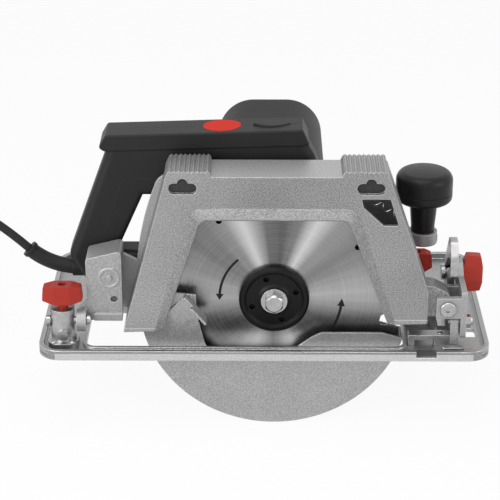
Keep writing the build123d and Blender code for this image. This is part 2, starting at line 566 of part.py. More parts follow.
def make_rear_bracket():
    """Cast bracket on the rear pin: barrel, hollow box and the upright plate of the depth guide."""
    box = [(-149, 20), (-149.5, 73), (-121, 80), (-121, 20)]
    body = slab_y(outline(box, [2, 3, 3, 2]), BRACKET_NEAR, BRACKET_FAR)
    w = BRACKET_WALL
    hollow = [(-149 + w, 10), (-149 + w, 69), (-110, 77), (-110, 10)]
    body -= slab_y(make_face(Polyline(*hollow, close=True)), BRACKET_NEAR + w, BRACKET_FAR - 3.3)
    lip = outline([(-144, 20), (-144, 26), (-121, 26), (-121, 20)], 1)
    body += slab_y(lip, BRACKET_NEAR - 1.5, BRACKET_NEAR + 1)
    body += ring_y(8.5, 6.8, BRACKET_NEAR - 0.8, BRACKET_NEAR, -131, 57)
    body += rod_y(2.2, BRACKET_NEAR - 2.2, BRACKET_NEAR, -131, 57)
    body -= rod_y(2.8, BRACKET_NEAR - 1, BRACKET_NEAR + w + 1, -127.5, 38.5)
    body += rod_x(BARREL_RADIUS, *BARREL_X, TILT_Y, TILT_Z)
    web = outline([(-156.5, 20), (-156.5, 29), (-145, 40), (-145, 20)], 1.5)
    body += slab_y(web, BRACKET_NEAR, BRACKET_NEAR + 8)
    body -= rod_x(TILT_PIN_RADIUS + RUN_CLEAR, -160, -120, TILT_Y, TILT_Z)
    reach = hypot(DEPTH_STUD[0] - DEPTH_X, DEPTH_STUD[1] - DEPTH_Z)
    start = degrees(atan2(DEPTH_STUD[1] - DEPTH_Z, DEPTH_STUD[0] - DEPTH_X)) % 360
    guide = arc_slot((DEPTH_X, DEPTH_Z), reach, 26, start - DEPTH_SWING, start)
    track = arc_slot((DEPTH_X, DEPTH_Z), reach, 2 * STUD_RADIUS + 1, start - DEPTH_SWING, start)
    body += slab_y(guide, DEPTH_PLATE_NEAR, BRACKET_FAR)
    blend = outline([(-125, 20), (-125, 70), (-105, 60), (-100, 20)], 1)
    body += slab_y(blend, DEPTH_PLATE_NEAR, BRACKET_FAR)
    return body - slab_y(track, DEPTH_PLATE_NEAR - 1, BRACKET_FAR + 1)


# Gear case, motor and end cap
CASE_WHEEL_RADIUS = GEAR_MODULE * (WHEEL_TEETH + 2) / 2 + 1.5 + GEARBOX_WALL
CASE_MOTOR_RADIUS = 46.0
ARM_NEAR = 46.0
ARM_TOP = 76.0
ARM_LOW = ARM_TOP - 10
KNOB_STUD_RADIUS = 4.0
SHAFT_RADIUS = 5.0
SHAFT_NEAR = GEAR_NEAR - 0.5
FAN_NEAR = 61.0
FAN_FAR = 72.0
FAN_RADIUS = 38.0
CORE_NEAR = 80.0
CORE_FAR = 122.0
CORE_RADIUS = 24.0
COMMUTATOR_NEAR = 130.0
COMMUTATOR_FAR = 146.0
COMMUTATOR_RADIUS = 13.0
MOTOR_BEARING_NEAR = 46.0
CAP_BEARING_NEAR = 160.0
STATOR_RADIUS = MOTOR_HALF_WIDTH - MOTOR_WALL - 0.3
CAP_SCREWS = ((-37, 128), (31, 128), (-32, 45), (26, 45))
CAP_SCREW_RADIUS = 2.0
CAP_HEAD_RADIUS = 3.4
CAP_BOSS_RADIUS = 5.0
CAP_SEAT = CAP_BACK - 9
SHAFT_END = CAP_BEARING_NEAR + REAR_BEARING_WIDTH


def case_hull(grow=0.0):
    """Outline that wraps the gear wheel and the front end of the motor."""
    wheel = Pos(0, ARBOR_HEIGHT) * Circle(CASE_WHEEL_RADIUS + grow)
    motor = Pos(MOTOR_X, MOTOR_Z) * Circle(CASE_MOTOR_RADIUS + grow)
    return make_hull(wheel.edges() + motor.edges())


def make_gear_case():
    """Cast case behind the guard, with bearing seats, a gear room and an arm for the knob."""
    body = slab_y(case_hull(), GUARD_FAR, GEARBOX_BACK)
    arm = [(25, 52), (25, 80), (105, ARM_TOP), (KNOB_X + 12, ARM_TOP), (KNOB_X + 12, ARM_LOW), (97, ARM_LOW)]
    body += slab_y(outline(arm, [1, 1, 8, 3, 3, 8]), ARM_NEAR, GEARBOX_BACK)
    body += rod_z(12, ARM_LOW, ARM_TOP, KNOB_X, KNOB_Y)
    room = case_hull(-GEARBOX_WALL)
    body -= slab_y(room, GEAR_NEAR - 0.8, GEAR_FAR + 0.8)
    body -= rod_y(BEARING_RADIUS, FRONT_BEARING_NEAR, GEAR_NEAR, 0, ARBOR_HEIGHT)
    body -= rod_y(SPINDLE_RADIUS + 4, GUARD_FAR - 1, GEAR_NEAR, 0, ARBOR_HEIGHT)
    body -= rod_y(REAR_BEARING_RADIUS, GEAR_FAR, SPINDLE_END + 0.2, 0, ARBOR_HEIGHT)
    body -= rod_y(REAR_BEARING_RADIUS, MOTOR_BEARING_NEAR, GEARBOX_BACK + 1, MOTOR_X, MOTOR_Z)
    body -= rod_y(SHAFT_RADIUS + 3, GEAR_FAR, GEARBOX_BACK + 1, MOTOR_X, MOTOR_Z)
    for x, z in GUARD_SCREWS:
        body -= rod_y(GUARD_SCREW_RADIUS, GUARD_FAR - 1, GUARD_SCREW_END, x, z)
    return body - rod_z(KNOB_STUD_RADIUS, ARM_LOW - 1, ARM_TOP + 1, KNOB_X, KNOB_Y)


def motor_section(inset=0.0):
    """Rounded upright section of the motor housing, drawn in X and Z."""
    left, right = MOTOR_X - MOTOR_HALF_WIDTH + inset, MOTOR_X + MOTOR_HALF_WIDTH - inset
    low, top = MOTOR_BOTTOM + inset, MOTOR_TOP - inset
    corners = [(left, low), (right, low), (right, top), (left, top)]
    return outline(corners, [36 - inset, 36 - inset, 30 - inset, 30 - inset])


def make_motor_housing():
    """Moulded tube round the motor, with cooling slots along both sides."""
    body = slab_y(motor_section(), GEARBOX_BACK, MOTOR_BACK)
    body -= slab_y(motor_section(MOTOR_WALL), GEARBOX_BACK + MOTOR_WALL, MOTOR_BACK + 1)
    body -= rod_y(FAN_RADIUS - 6, GEARBOX_BACK - 1, GEARBOX_BACK + 5, MOTOR_X, MOTOR_Z)
    for i in range(6):
        z = MOTOR_Z - 20 + 8 * i
        for x in (MOTOR_X - MOTOR_HALF_WIDTH, MOTOR_X + MOTOR_HALF_WIDTH):
            body -= block((x - 5, FAN_NEAR + 1, z), (x + 5, FAN_FAR + 3, z + 4))
    for x, z in CAP_SCREWS:
        body += rod_y(CAP_BOSS_RADIUS, MOTOR_BACK - 12, MOTOR_BACK, x, z)
        body -= rod_y(CAP_SCREW_RADIUS, MOTOR_BACK - 8, MOTOR_BACK + 1, x, z)
    return body


def make_motor_end_cap():
    """Domed cap that closes the motor and seats the far bearing."""
    body = slab_y(motor_section(), MOTOR_BACK, CAP_BACK)
    body = fillet(body.edges().group_by(Axis.Y)[-1], 13)
    body -= slab_y(motor_section(MOTOR_WALL), MOTOR_BACK - 1, CAP_BACK - 16)
    seat = rod_y(REAR_BEARING_RADIUS + 3, CAP_BEARING_NEAR, CAP_BACK - 10, MOTOR_X, MOTOR_Z)
    body += seat
    body -= rod_y(REAR_BEARING_RADIUS, CAP_BEARING_NEAR - 1, SHAFT_END + 0.2, MOTOR_X, MOTOR_Z)
    for x, z in CAP_SCREWS:
        body += rod_y(CAP_BOSS_RADIUS, MOTOR_BACK, CAP_BACK - 15, x, z)
        body -= rod_y(CAP_SCREW_RADIUS, MOTOR_BACK - 1, CAP_BACK, x, z)
        body -= rod_y(CAP_HEAD_RADIUS + 0.4, CAP_SEAT, CAP_BACK + 1, x, z)
    for i in range(6):
        z = MOTOR_Z - 22 + 8 * i
        for x in (-1, 1):
            middle = MOTOR_X + 26 * x
            body -= block((middle - 9, CAP_BACK - 18, z), (middle + 9, CAP_BACK + 1, z + 3.5))
    return body


def make_motor_pinion():
    face = gear_face(PINION_TEETH, MESH_ANGLE + 180, SHAFT_RADIUS)
    return Pos(MOTOR_X, 0, MOTOR_Z) * slab_y(face, GEAR_NEAR, GEAR_FAR)


def make_armature_shaft():
    return rod_y(SHAFT_RADIUS, SHAFT_NEAR, SHAFT_END, MOTOR_X, MOTOR_Z)


def make_armature_core():
    """Laminated core with winding slots and rounded winding heads."""
    core = ring_y(CORE_RADIUS, SHAFT_RADIUS, CORE_NEAR, CORE_FAR, MOTOR_X, MOTOR_Z)
    for i in range(12):
        x, z = polar(CORE_RADIUS, 30 * i, MOTOR_X, MOTOR_Z)
        core -= rod_y(2, CORE_NEAR - 1, CORE_FAR + 1, x, z)
    heads = ring_y(CORE_RADIUS - 4, SHAFT_RADIUS, CORE_NEAR - 6, CORE_FAR + 6, MOTOR_X, MOTOR_Z)
    return core + heads


def make_commutator():
    ring = ring_y(COMMUTATOR_RADIUS, SHAFT_RADIUS, COMMUTATOR_NEAR, COMMUTATOR_FAR, MOTOR_X, MOTOR_Z)
    for i in range(24):
        a = 15 * i
        inner, outer = COMMUTATOR_RADIUS - 1.2, COMMUTATOR_RADIUS + 1
        bar = block((inner, COMMUTATOR_NEAR - 1, -0.3), (outer, COMMUTATOR_FAR + 1, 0.3))
        ring -= Pos(MOTOR_X, 0, MOTOR_Z) * Rot(0, a, 0) * bar
    return ring


def make_cooling_fan():
    """Hub, back disc and straight radial blades."""
    fan = ring_y(FAN_RADIUS, SHAFT_RADIUS, FAN_FAR - 2, FAN_FAR, MOTOR_X, MOTOR_Z)
    fan += ring_y(SHAFT_RADIUS + 5, SHAFT_RADIUS, FAN_NEAR, FAN_FAR, MOTOR_X, MOTOR_Z)
    vane = block((SHAFT_RADIUS + 9, FAN_NEAR, -0.8), (FAN_RADIUS - 0.5, FAN_FAR - 1, 0.8))
    for i in range(12):
        fan += Pos(MOTOR_X, 0, MOTOR_Z) * Rot(0, 30 * i, 0) * vane
    return fan


def make_motor_bearings():
    """Two alike ball bearings of the armature, one in the gear case and one in the end cap."""
    inner = SHAFT_RADIUS + RUN_CLEAR
    solids = []
    for near in (MOTOR_BEARING_NEAR, CAP_BEARING_NEAR):
        solids.append(make_bearing(REAR_BEARING_RADIUS, inner, near, REAR_BEARING_WIDTH, MOTOR_X, MOTOR_Z))
    return solids


def make_stator():
    """Laminated stator ring with two field coils on its poles."""
    ring = ring_y(STATOR_RADIUS, CORE_RADIUS + 1, CORE_NEAR, CORE_FAR, MOTOR_X, MOTOR_Z)
    for z in (-1, 1):
        slot = block((-30, CORE_NEAR - 1, 8 * z - 5), (30, CORE_FAR + 1, 8 * z + 5))
        ring -= Pos(MOTOR_X, 0, MOTOR_Z) * (slot & rod_y(33, CORE_NEAR - 2, CORE_FAR + 2, 0, 0))
    heads = ring_y(STATOR_RADIUS - 4, CORE_RADIUS + 4, CORE_NEAR - 5, CORE_FAR + 5, MOTOR_X, MOTOR_Z)
    heads -= block((-60, 0, MOTOR_Z - 12), (60, 200, MOTOR_Z + 12))
    return ring + heads


BRUSH_Y = (132.0, 143.0)


def brush_sides(inner, outer, half_y, half_z):
    """A box on each side of the commutator, along X."""
    y = (BRUSH_Y[0] + BRUSH_Y[1]) / 2
    solids = []
    for side in (-1, 1):
        a, b = MOTOR_X + side * inner, MOTOR_X + side * outer
        low, high = (min(a, b), y - half_y, MOTOR_Z - half_z), (max(a, b), y + half_y, MOTOR_Z + half_z)
        solids.append(block(low, high))
    return solids


def make_brush_holders():
    outside = brush_sides(COMMUTATOR_RADIUS + 2, MOTOR_HALF_WIDTH - MOTOR_WALL, 5.5, 6)
    inside = brush_sides(COMMUTATOR_RADIUS + 1, MOTOR_HALF_WIDTH - MOTOR_WALL - 4, 4, 4.5)
    return [a - b for a, b in zip(outside, inside)]


def make_carbon_brushes():
    return brush_sides(COMMUTATOR_RADIUS + 0.3, COMMUTATOR_RADIUS + 20, 3.9, 4.4)


# Handle, its switch and the front knob
BAR_TOP_REAR = (-133.0, 166.5)
BAR_TOP_FRONT = (22.0, 171.5)
BAR_UNDER = 123.0
CAP_LIP = 1.8
CAP_DEPTH = 14.0
ARM_UPPER = 66.0
TRIGGER_X = (-96.0, -58.0)
TRIGGER_HALF = 6.0
TRIGGER_PIVOT = (-56.0, BAR_UNDER + 7)
TRIGGER_PIN_RADIUS = 1.5
HANDLE_SCREWS = ((-120, 146), (-143, 78), (-110, 50), (-60, 52), (20, 134))
HANDLE_SCREW_RADIUS = 1.5
HANDLE_SCREW_END = HANDLE_MID - 8
SWITCH_HALF = 8.5
SWITCH_X = (-101.0, -49.0)
SWITCH_LOW = BAR_UNDER + 14
SWITCH_TOP = SWITCH_LOW + 15
TRIGGER_PIN_HALF = SWITCH_HALF + 2.5
LOCK_X = -2.0
LOCK_TRAVEL = 2.5
STEM_RADIUS = 10.0
KNOB_LOW = 102.0
KNOB_TOP = 133.0


def bar_height(x):
    """Height of the sloping top face of the bar at a place along it."""
    (x0, z0), (x1, z1) = BAR_TOP_REAR, BAR_TOP_FRONT
    return z0 + (z1 - z0) * (x - x0) / (x1 - x0)


def lock_face(grow=0.0):
    """Lens outline of the lock button, drawn in X and Y."""
    half, rise = 15 + grow, 6.5 + grow
    top = ThreePointArc((LOCK_X - half, HANDLE_MID), (LOCK_X, HANDLE_MID + rise), (LOCK_X + half, HANDLE_MID))
    low = ThreePointArc((LOCK_X + half, HANDLE_MID), (LOCK_X, HANDLE_MID - rise), (LOCK_X - half, HANDLE_MID))
    return make_face([top, low])


def make_handle_body():
    """Closed loop handle: bar with a wide cap, rear grip and lower arm, hollow for the switch."""
    loop = [(-130, bar_height(-130) - 3), (20, bar_height(20) - 3), (32, 148), (41, 122), (41, 108)]
    loop += [(MOTOR_X, MOTOR_Z), (-30, 42), (-150, 36), (-166, 62), (-136, 144)]
    body = slab_y(outline(loop, [4, 2, 6, 3, 1, 1, 1, 8, 10, 6]), HANDLE_NEAR + CAP_LIP, HANDLE_FAR - CAP_LIP)
    grip = [(-113.5, BAR_UNDER), (-50, BAR_UNDER), (-56, ARM_UPPER), (-137, ARM_UPPER)]
    body -= slab_y(outline(grip, [6, 10, 10, 8]), HANDLE_NEAR, HANDLE_FAR)
    round_edges = [e for e in body.edges() if e.center().X < -104 and abs(e.center().Y - HANDLE_MID) > 12]
    body = fillet(round_edges, 7)
    cap = [BAR_TOP_REAR, BAR_TOP_FRONT, (28, 172 - CAP_DEPTH)]
    cap += [(-134, 167 - CAP_DEPTH), (-139, 170 - CAP_DEPTH)]
    lid = slab_y(outline(cap, [3, 1.5, 2, 3, 3]), HANDLE_NEAR, HANDLE_FAR)
    upper = lid.edges().filter_by(lambda e: e.center().Z > 164 and abs(e.center().Y - HANDLE_MID) > 15)
    lid = chamfer(upper, 1.0)
    body += lid
    body -= slab_y(case_hull(0.2), HANDLE_NEAR - 1, HANDLE_FAR + 1)
    half = SWITCH_HALF + 0.3
    near, far = HANDLE_MID - half, HANDLE_MID + half
    body -= block((SWITCH_X[0], near, BAR_UNDER + 5), (SWITCH_X[1], far, SWITCH_TOP))
    half = TRIGGER_HALF + BODY_GAP
    near, far = HANDLE_MID - half, HANDLE_MID + half
    body -= block((TRIGGER_X[0] - 2, near, BAR_UNDER - 5), (-50, far, BAR_UNDER + 12))
    well = slab_z(lock_face(0.4), bar_height(LOCK_X) - 9, 190)
    body -= well
    body -= make_trigger_pin()
    return body - rod_x(BOOT_ROOT, BOOT_START - 20, BOOT_START + BOOT_SEAT, HANDLE_MID, CORD_EXIT_Z)


def make_handle_near():
    body = split(make_handle_body(), Plane.XZ.offset(-HANDLE_MID), Keep.TOP)
    for x, z in HANDLE_SCREWS:
        body -= rod_y(HANDLE_SCREW_RADIUS, HANDLE_SCREW_END, HANDLE_MID + 1, x, z)
    return body


def make_handle_far():
    body = split(make_handle_body(), Plane.XZ.offset(-HANDLE_MID), Keep.BOTTOM)
    for x, z in HANDLE_SCREWS:
        body -= rod_y(3.2, HANDLE_FAR - 6, HANDLE_FAR + 1, x, z)
        body -= rod_y(HANDLE_SCREW_RADIUS, HANDLE_MID - 1, HANDLE_FAR, x, z)
    return body


def make_handle_screws():
    solids = []
    for x, z in HANDLE_SCREWS:
        screw = rod_y(3.0, HANDLE_FAR - 6, HANDLE_FAR - 3.5, x, z)
        screw += rod_y(HANDLE_SCREW_RADIUS, HANDLE_SCREW_END, HANDLE_FAR - 6, x, z)
        solids.append(screw - block((x - 2.2, HANDLE_FAR - 4.5, z - 0.4), (x + 2.2, HANDLE_FAR, z + 0.4)))
    return solids


def make_switch_body():
    """Switch block inside the bar, with a plunger slot above the trigger."""
    low, high = HANDLE_MID - SWITCH_HALF, HANDLE_MID + SWITCH_HALF
    body = block((SWITCH_X[0], low, SWITCH_LOW), (SWITCH_X[1], high, SWITCH_TOP))
    return chamfer(body.edges().filter_by(Axis.Y), 1.5)


def make_trigger():
    """Finger trigger under the bar, hinged at its front end on a short pin."""
    rear, front = TRIGGER_X
    face = [(rear, BAR_UNDER + 5), (front + 4, BAR_UNDER + 7), (front + 5, BAR_UNDER - 1)]
    face += [(front - 8, BAR_UNDER - 6), (front - 24, BAR_UNDER - 8)]
    face += [(rear + 2, BAR_UNDER - 13), (rear - 1, BAR_UNDER - 10)]
    side = outline(face, [1, 2, 2, 6, 12, 2.5, 1.5])
    body = slab_y(side, HANDLE_MID - TRIGGER_HALF, HANDLE_MID + TRIGGER_HALF)
    eye = rod_y(3.4, HANDLE_MID - TRIGGER_HALF, HANDLE_MID + TRIGGER_HALF, *TRIGGER_PIVOT)
    return body + eye - rod_y(TRIGGER_PIN_RADIUS + RUN_CLEAR, HANDLE_NEAR, HANDLE_FAR, *TRIGGER_PIVOT)


def make_trigger_pin():
    near, far = HANDLE_MID - TRIGGER_PIN_HALF, HANDLE_MID + TRIGGER_PIN_HALF
    return rod_y(TRIGGER_PIN_RADIUS, near, far, *TRIGGER_PIVOT)


def make_lock_button():
    """Lens-shaped thumb button, a little proud of the bar."""
    top = bar_height(LOCK_X)
    body = slab_z(lock_face(), top - 9 + LOCK_TRAVEL + 1, top + 1.2)
    return chamfer(body.edges().group_by(Axis.Z)[-1], 0.8)


def make_knob():
    """Turned front knob: waisted stem, broad rounded head with a fine parting groove."""
    arc = [(0, ARM_TOP), (STEM_RADIUS + 1, ARM_TOP)]
    arc += [(STEM_RADIUS, ARM_TOP + 12), (STEM_RADIUS + 1.5, KNOB_LOW - 2)]
    arc += [(KNOB_RADIUS - 3, KNOB_LOW), (KNOB_RADIUS, KNOB_LOW + 5), (KNOB_RADIUS, KNOB_TOP - 12)]
    arc += [(KNOB_RADIUS - 7, KNOB_TOP - 1), (0, KNOB_TOP)]
    face = outline(arc, [0.5, 1, 8, 3, 3, 3, 9, 8, 0.5])
    body = revolve(Plane.XZ * face, Axis.Z)
    groove = Pos(0, 0, KNOB_LOW + 8) * (Cylinder(KNOB_RADIUS + 1, 0.8) - Cylinder(KNOB_RADIUS - 0.6, 2))
    return Pos(KNOB_X, KNOB_Y, 0) * (body - groove - Pos(0, 0, ARM_TOP + 9) * Cylinder(KNOB_STUD_RADIUS, 20))


def make_knob_stud():
    return rod_z(KNOB_STUD_RADIUS, ARM_LOW, ARM_TOP + 18, KNOB_X, KNOB_Y)


# Wing screws of the clamps: a bow-tie grip with a hole down its middle, on a plain screw
WING_HEIGHT = 16.0
WING_DEPTH = 13.0
WING_HOLE = 3.4
WING_NECK = 4.0
FENCE_SCREW = FENCE_BLOCK_TOP + WING_NECK - BASE_SHEET - FENCE_BAR_HEIGHT


def wing_grip(span=WING_SPAN, depth=WING_DEPTH):
    """Wing standing on Z, its span along X: thick in the middle, with square ends."""
    half, deep = span / 2, depth / 2
    plan = [(-half, -deep + 2.5), (-6, -deep), (6, -deep), (half, -deep + 2.5)]
    plan += [(half, deep - 2.5), (6, deep), (-6, deep), (-half, deep - 2.5)]
    front = [(-half, 3), (-half + 1, WING_HEIGHT - 1.5), (-7, WING_HEIGHT), (7, WING_HEIGHT)]
    front += [(half - 1, WING_HEIGHT - 1.5), (half, 3), (6, 0), (-6, 0)]
    body = slab_z(outline(plan, 1.2), 0, WING_HEIGHT) & slab_y(outline(front, 1.2), -deep - 1, deep + 1)
    return body - Pos(0, 0, WING_HEIGHT - 4) * Cylinder(WING_HOLE, 8.2)


def make_wing(height_of_screw, span=WING_SPAN, depth=WING_DEPTH):
    screw = Pos(0, 0, -height_of_screw / 2) * Cylinder(WING_SCREW_RADIUS, height_of_screw)
    return wing_grip(span, depth) + screw


# Depth clamp on the far side of the guard
LEVER_NEAR = BRACKET_FAR + BODY_GAP
LEVER_FAR = LEVER_NEAR + 7.0


def make_depth_stud():
    """Carriage bolt from the guard through the slot of the depth guide."""
    x, z = DEPTH_STUD
    head = rod_y(7, FAR_WALL_NEAR - 2, FAR_WALL_NEAR, x, z)
    return rod_y(STUD_RADIUS, FAR_WALL_NEAR, LEVER_FAR + 1.5, x, z) + head


def make_depth_lever():
    """Clamp lever with a round boss and a tapered arm."""
    x, z = DEPTH_STUD
    arm = [(x - 46, z - 9), (x - 46, z - 1), (x, z + 6), (x, z - 6)]
    body = rod_y(8.5, LEVER_NEAR, LEVER_FAR, x, z)
    body += slab_y(outline(arm, [3, 3, 1, 1]), LEVER_NEAR + 1, LEVER_FAR - 1)
    return body - rod_y(STUD_RADIUS + RUN_CLEAR, LEVER_NEAR - 1, LEVER_FAR + 1, x, z)


def make_guard_screws():
    """Screws that hold the guard to the gear case."""
    solids = []
    for x, z in GUARD_SCREWS:
        head = rod_y(4.5, FAR_WALL_NEAR - 2.2, FAR_WALL_NEAR, x, z)
        solids.append(head + rod_y(GUARD_SCREW_RADIUS, FAR_WALL_NEAR, GUARD_SCREW_END, x, z))
    return solids


def make_cap_screws():
    """Screws that hold the end cap to the motor housing."""
    solids = []
    for x, z in CAP_SCREWS:
        head = rod_y(CAP_HEAD_RADIUS, CAP_SEAT, CAP_SEAT + 3.5, x, z)
        solids.append(head + rod_y(CAP_SCREW_RADIUS, MOTOR_BACK - 8, CAP_SEAT, x, z))
    return solids


# Mains lead: strain relief, free stretch, put-away coil with its tie, and plug
CORD_RADIUS = 3.5
CORD_EXIT_Z = 47.5
BOOT_START = -159.0
BOOT_BEND = 58.0
BOOT_TURN = 43.6
BOOT_RADIUS = 6.2
BOOT_COLLAR = 7.0
BOOT_ROOT = BOOT_RADIUS + 1.5
BOOT_SEAT = 6.0
COIL_PITCH = 7.9
COIL_TURNS = 4
COIL_INNER = 29.0
COIL_LAYER = 7.8
COIL_REST = FLOOR + CORD_RADIUS + 1.6
TIE_THICK = 1.0
TIE_GAP = 0.4
COIL_START = (-379.0, 166.0)
COIL_END = 2 * COIL_TURNS - 0.375
COIL_TAIL = 34.0
PLUG_RADIUS = 12.5
PLUG_LENGTH = 36.0
PLUG_TAIL = 14.0
PIN_LENGTH = 19.0
PIN_RADIUS = 2.4
PIN_SPACING = 14.25
boot_axis_z = CORD_EXIT_Z + BOOT_BEND
BOOT_END_X = BOOT_START - BOOT_BEND * sin(radians(BOOT_TURN))
BOOT_END = (BOOT_END_X, boot_axis_z - BOOT_BEND * cos(radians(BOOT_TURN)))
CORD_ROUTE = [
    (BOOT_END[0], HANDLE_MID, BOOT_END[1]),
    (BOOT_END[0] - 24, HANDLE_MID, BOOT_END[1] + 24 * tan(radians(BOOT_TURN))),
    (-258, 44, 103),
    (-298, 53, 101),
    (-340, 66, 72),
    (-370, 84, 24),
    (-384, 100, -24),
    (COIL_START[0], COIL_START[1] - 44, COIL_REST),
    (COIL_START[0], COIL_START[1], COIL_REST),
]


def bend(radius):
    """Round section of a radius, swept round the bend of the strain relief."""
    centre = Plane((BOOT_START, HANDLE_MID, CORD_EXIT_Z), x_dir=(0, 0, 1), z_dir=(-1, 0, 0))
    axis = Axis((BOOT_START, HANDLE_MID, boot_axis_z), (0, 1, 0))
    return revolve(centre * Circle(radius), axis, BOOT_TURN)


def make_cord_boot():
    """Moulded strain relief, bent upwards, with a collar where the lead leaves it."""
    body = bend(BOOT_RADIUS)
    way = (-cos(radians(BOOT_TURN)), 0, sin(radians(BOOT_TURN)))
    end = Plane((BOOT_END[0], HANDLE_MID, BOOT_END[1]), z_dir=way)
    collar = end * Pos(0, 0, -1.5) * Cylinder(BOOT_COLLAR, 3)
    root = rod_x(BOOT_ROOT, BOOT_START - 5, BOOT_START + BOOT_SEAT, HANDLE_MID, CORD_EXIT_Z)
    return body + collar + root


def corner_radii(points):
    """Largest arc at each corner that leaves a tenth of the shorter run straight."""
    radii = []
    for a, b, c in zip(points, points[1:], points[2:]):
        a, b, c = Vector(*a), Vector(*b), Vector(*c)
        turn = radians((b - a).get_angle(c - b))
        radii.append(0.45 * min((b - a).length, (c - b).length) / tan(turn / 2))
    return radii


def make_cord_lead():
    """Free stretch of the lead, from the strain relief to the coil."""
    radii = corner_radii(CORD_ROUTE)
    print("lead corner radii", [round(r) for r in radii])
    path = FilletPolyline(*CORD_ROUTE, radius=radii)
    start = Plane(CORD_ROUTE[0], z_dir=path % 0)
    tube = sweep(start * Circle(CORD_RADIUS), path=path)
    full = path.length * pi * CORD_RADIUS**2
    print("lead length", round(path.length, 1), "volume ratio", round(tube.volume / full, 4))
    return tube


def coil_point(turn):
    """Place on the coil after a number of turns: in along the lower layer, out along the upper."""
    half_climb = 0.25
    outer = COIL_INNER + COIL_PITCH * COIL_TURNS
    if turn < COIL_TURNS - half_climb:
        radius, height = outer - COIL_PITCH * turn, 0.0
    elif turn > COIL_TURNS + half_climb:
        radius, height = outer - COIL_PITCH * (2 * COIL_TURNS - turn), COIL_LAYER
    else:
        share = (turn - COIL_TURNS + half_climb) / (2 * half_climb)
        radius = COIL_INNER + COIL_PITCH * (half_climb / 2 + 2 * (turn - COIL_TURNS) ** 2)
        height = COIL_LAYER * (1 - cos(pi * share)) / 2
    centre = (COIL_START[0] + outer, COIL_START[1])
    angle = radians(180 - 360 * turn)
    return Vector(centre[0] + radius * cos(angle), centre[1] + radius * sin(angle), COIL_REST + height)


def coil_heading(turn):
    """Direction of the coil at a number of turns."""
    step = 1e-4
    ahead = coil_point(min(turn + step, COIL_END))
    behind = coil_point(max(turn - step, 0))
    return (ahead - behind).normalized()


def biarc(start, heading, end, end_heading):
    """Two arcs that join two places and meet both headings."""
    v = end - start
    t = heading + end_heading
    a = 2 * (heading.dot(end_heading) - 1)
    b = -2 * v.dot(t)
    c = v.dot(v)
    reach = (-b - sqrt(b * b - 4 * a * c)) / (2 * a)
    middle = (start + heading * reach + end - end_heading * reach) * 0.5
    first = TangentArc(start, middle, tangent=heading)
    second = TangentArc(middle, end, tangent=first % 1)
    return [first, second]


def make_cord_coil():
    """Put-away length of the lead, wound in two layers and ended by a short straight run."""
    steps = [0.25 * i for i in range(int(COIL_END / 0.25) + 1)] + [COIL_END]
    headings = [Vector(0, 1, 0)] + [coil_heading(s) for s in steps[1:]]
    edges = []
    for i in range(len(steps) - 1):
        edges += biarc(coil_point(steps[i]), headings[i], coil_point(steps[i + 1]), headings[i + 1])
    out = coil_point(COIL_END)
    edges.append(Line(out, out + headings[-1] * COIL_TAIL))
    path = Wire(edges)
    samples = [coil_point(0.02 * i) for i in range(int(COIL_END / 0.02))]
    count = len(samples)
    gap = min((samples[i] - samples[j]).length for i in range(count) for j in range(i + 25, count))
    print("coil length", round(path.length, 1), "least gap", round(gap - 2 * CORD_RADIUS, 2))
    tube = sweep(Plane(coil_point(0), z_dir=(0, 1, 0)) * Circle(CORD_RADIUS), path=path)
    print("coil volume ratio", round(tube.volume / (path.length * pi * CORD_RADIUS**2), 4))
    return tube


def coil_out():
    """Place and heading where the lead leaves the coil for the plug."""
    heading = coil_heading(COIL_END)
    return coil_point(COIL_END) + heading * COIL_TAIL, heading


def make_cord_tie():
    """Flat tie round the bundle of turns."""
    middle = COIL_INNER + COIL_PITCH * COIL_TURNS / 2
    x = COIL_START[0] + COIL_INNER + COIL_PITCH * COIL_TURNS
    wide = COIL_PITCH * COIL_TURNS + 2 * (CORD_RADIUS + TIE_GAP)
    high = COIL_LAYER + 2 * (CORD_RADIUS + TIE_GAP)
    centre = (COIL_START[1] + middle, COIL_REST + COIL_LAYER / 2)
    outer = RectangleRounded(wide + 2 * TIE_THICK, high + 2 * TIE_THICK, 4)
    ring = Pos(*centre) * (outer - RectangleRounded(wide, high, 3))
    return Pos(x, 0, 0) * slab_x(ring, -3, 3)


def make_plug_body():
    """Moulded two-pin plug: tapered tail, round body and flat face."""
    start, heading = coil_out()
    end = PLUG_TAIL + PLUG_LENGTH
    profile = [(0, 0), (CORD_RADIUS + 1.5, 0), (PLUG_RADIUS - 2, PLUG_TAIL), (PLUG_RADIUS, PLUG_TAIL + 8)]
    profile += [(PLUG_RADIUS, end), (0, end)]
    face = outline(profile, [0.5, 1, 4, 3, 1.5, 0.5])
    body = revolve(Plane.XZ * face, Axis.Z)
    return Plane(start, x_dir=(0, 0, 1), z_dir=heading) * body


def make_plug_pins():
    start, heading = coil_out()
    frame = Plane(start, x_dir=(0, 0, 1), z_dir=heading)
    pins = []
    for side in (-1, 1):
        along = PLUG_TAIL + PLUG_LENGTH + PIN_LENGTH / 2
        pin = Pos(0, side * PIN_SPACING / 2, along) * Cylinder(PIN_RADIUS, PIN_LENGTH)
        pins.append(frame * fillet(pin.edges().group_by(Axis.Z)[-1], 1.2))
    return pins


def wing_on(place, height_of_screw):
    return Pos(*place) * make_wing(height_of_screw)


def make_fence_wing():
    """Smaller wing screw of the fence clamp, free to turn between the guard and the arm."""
    place = Pos(FENCE_CLAMP_X, FENCE_CLAMP_Y, FENCE_BLOCK_TOP + WING_NECK)
    return place * make_wing(FENCE_SCREW, FENCE_WING_SPAN, FENCE_WING_DEPTH)


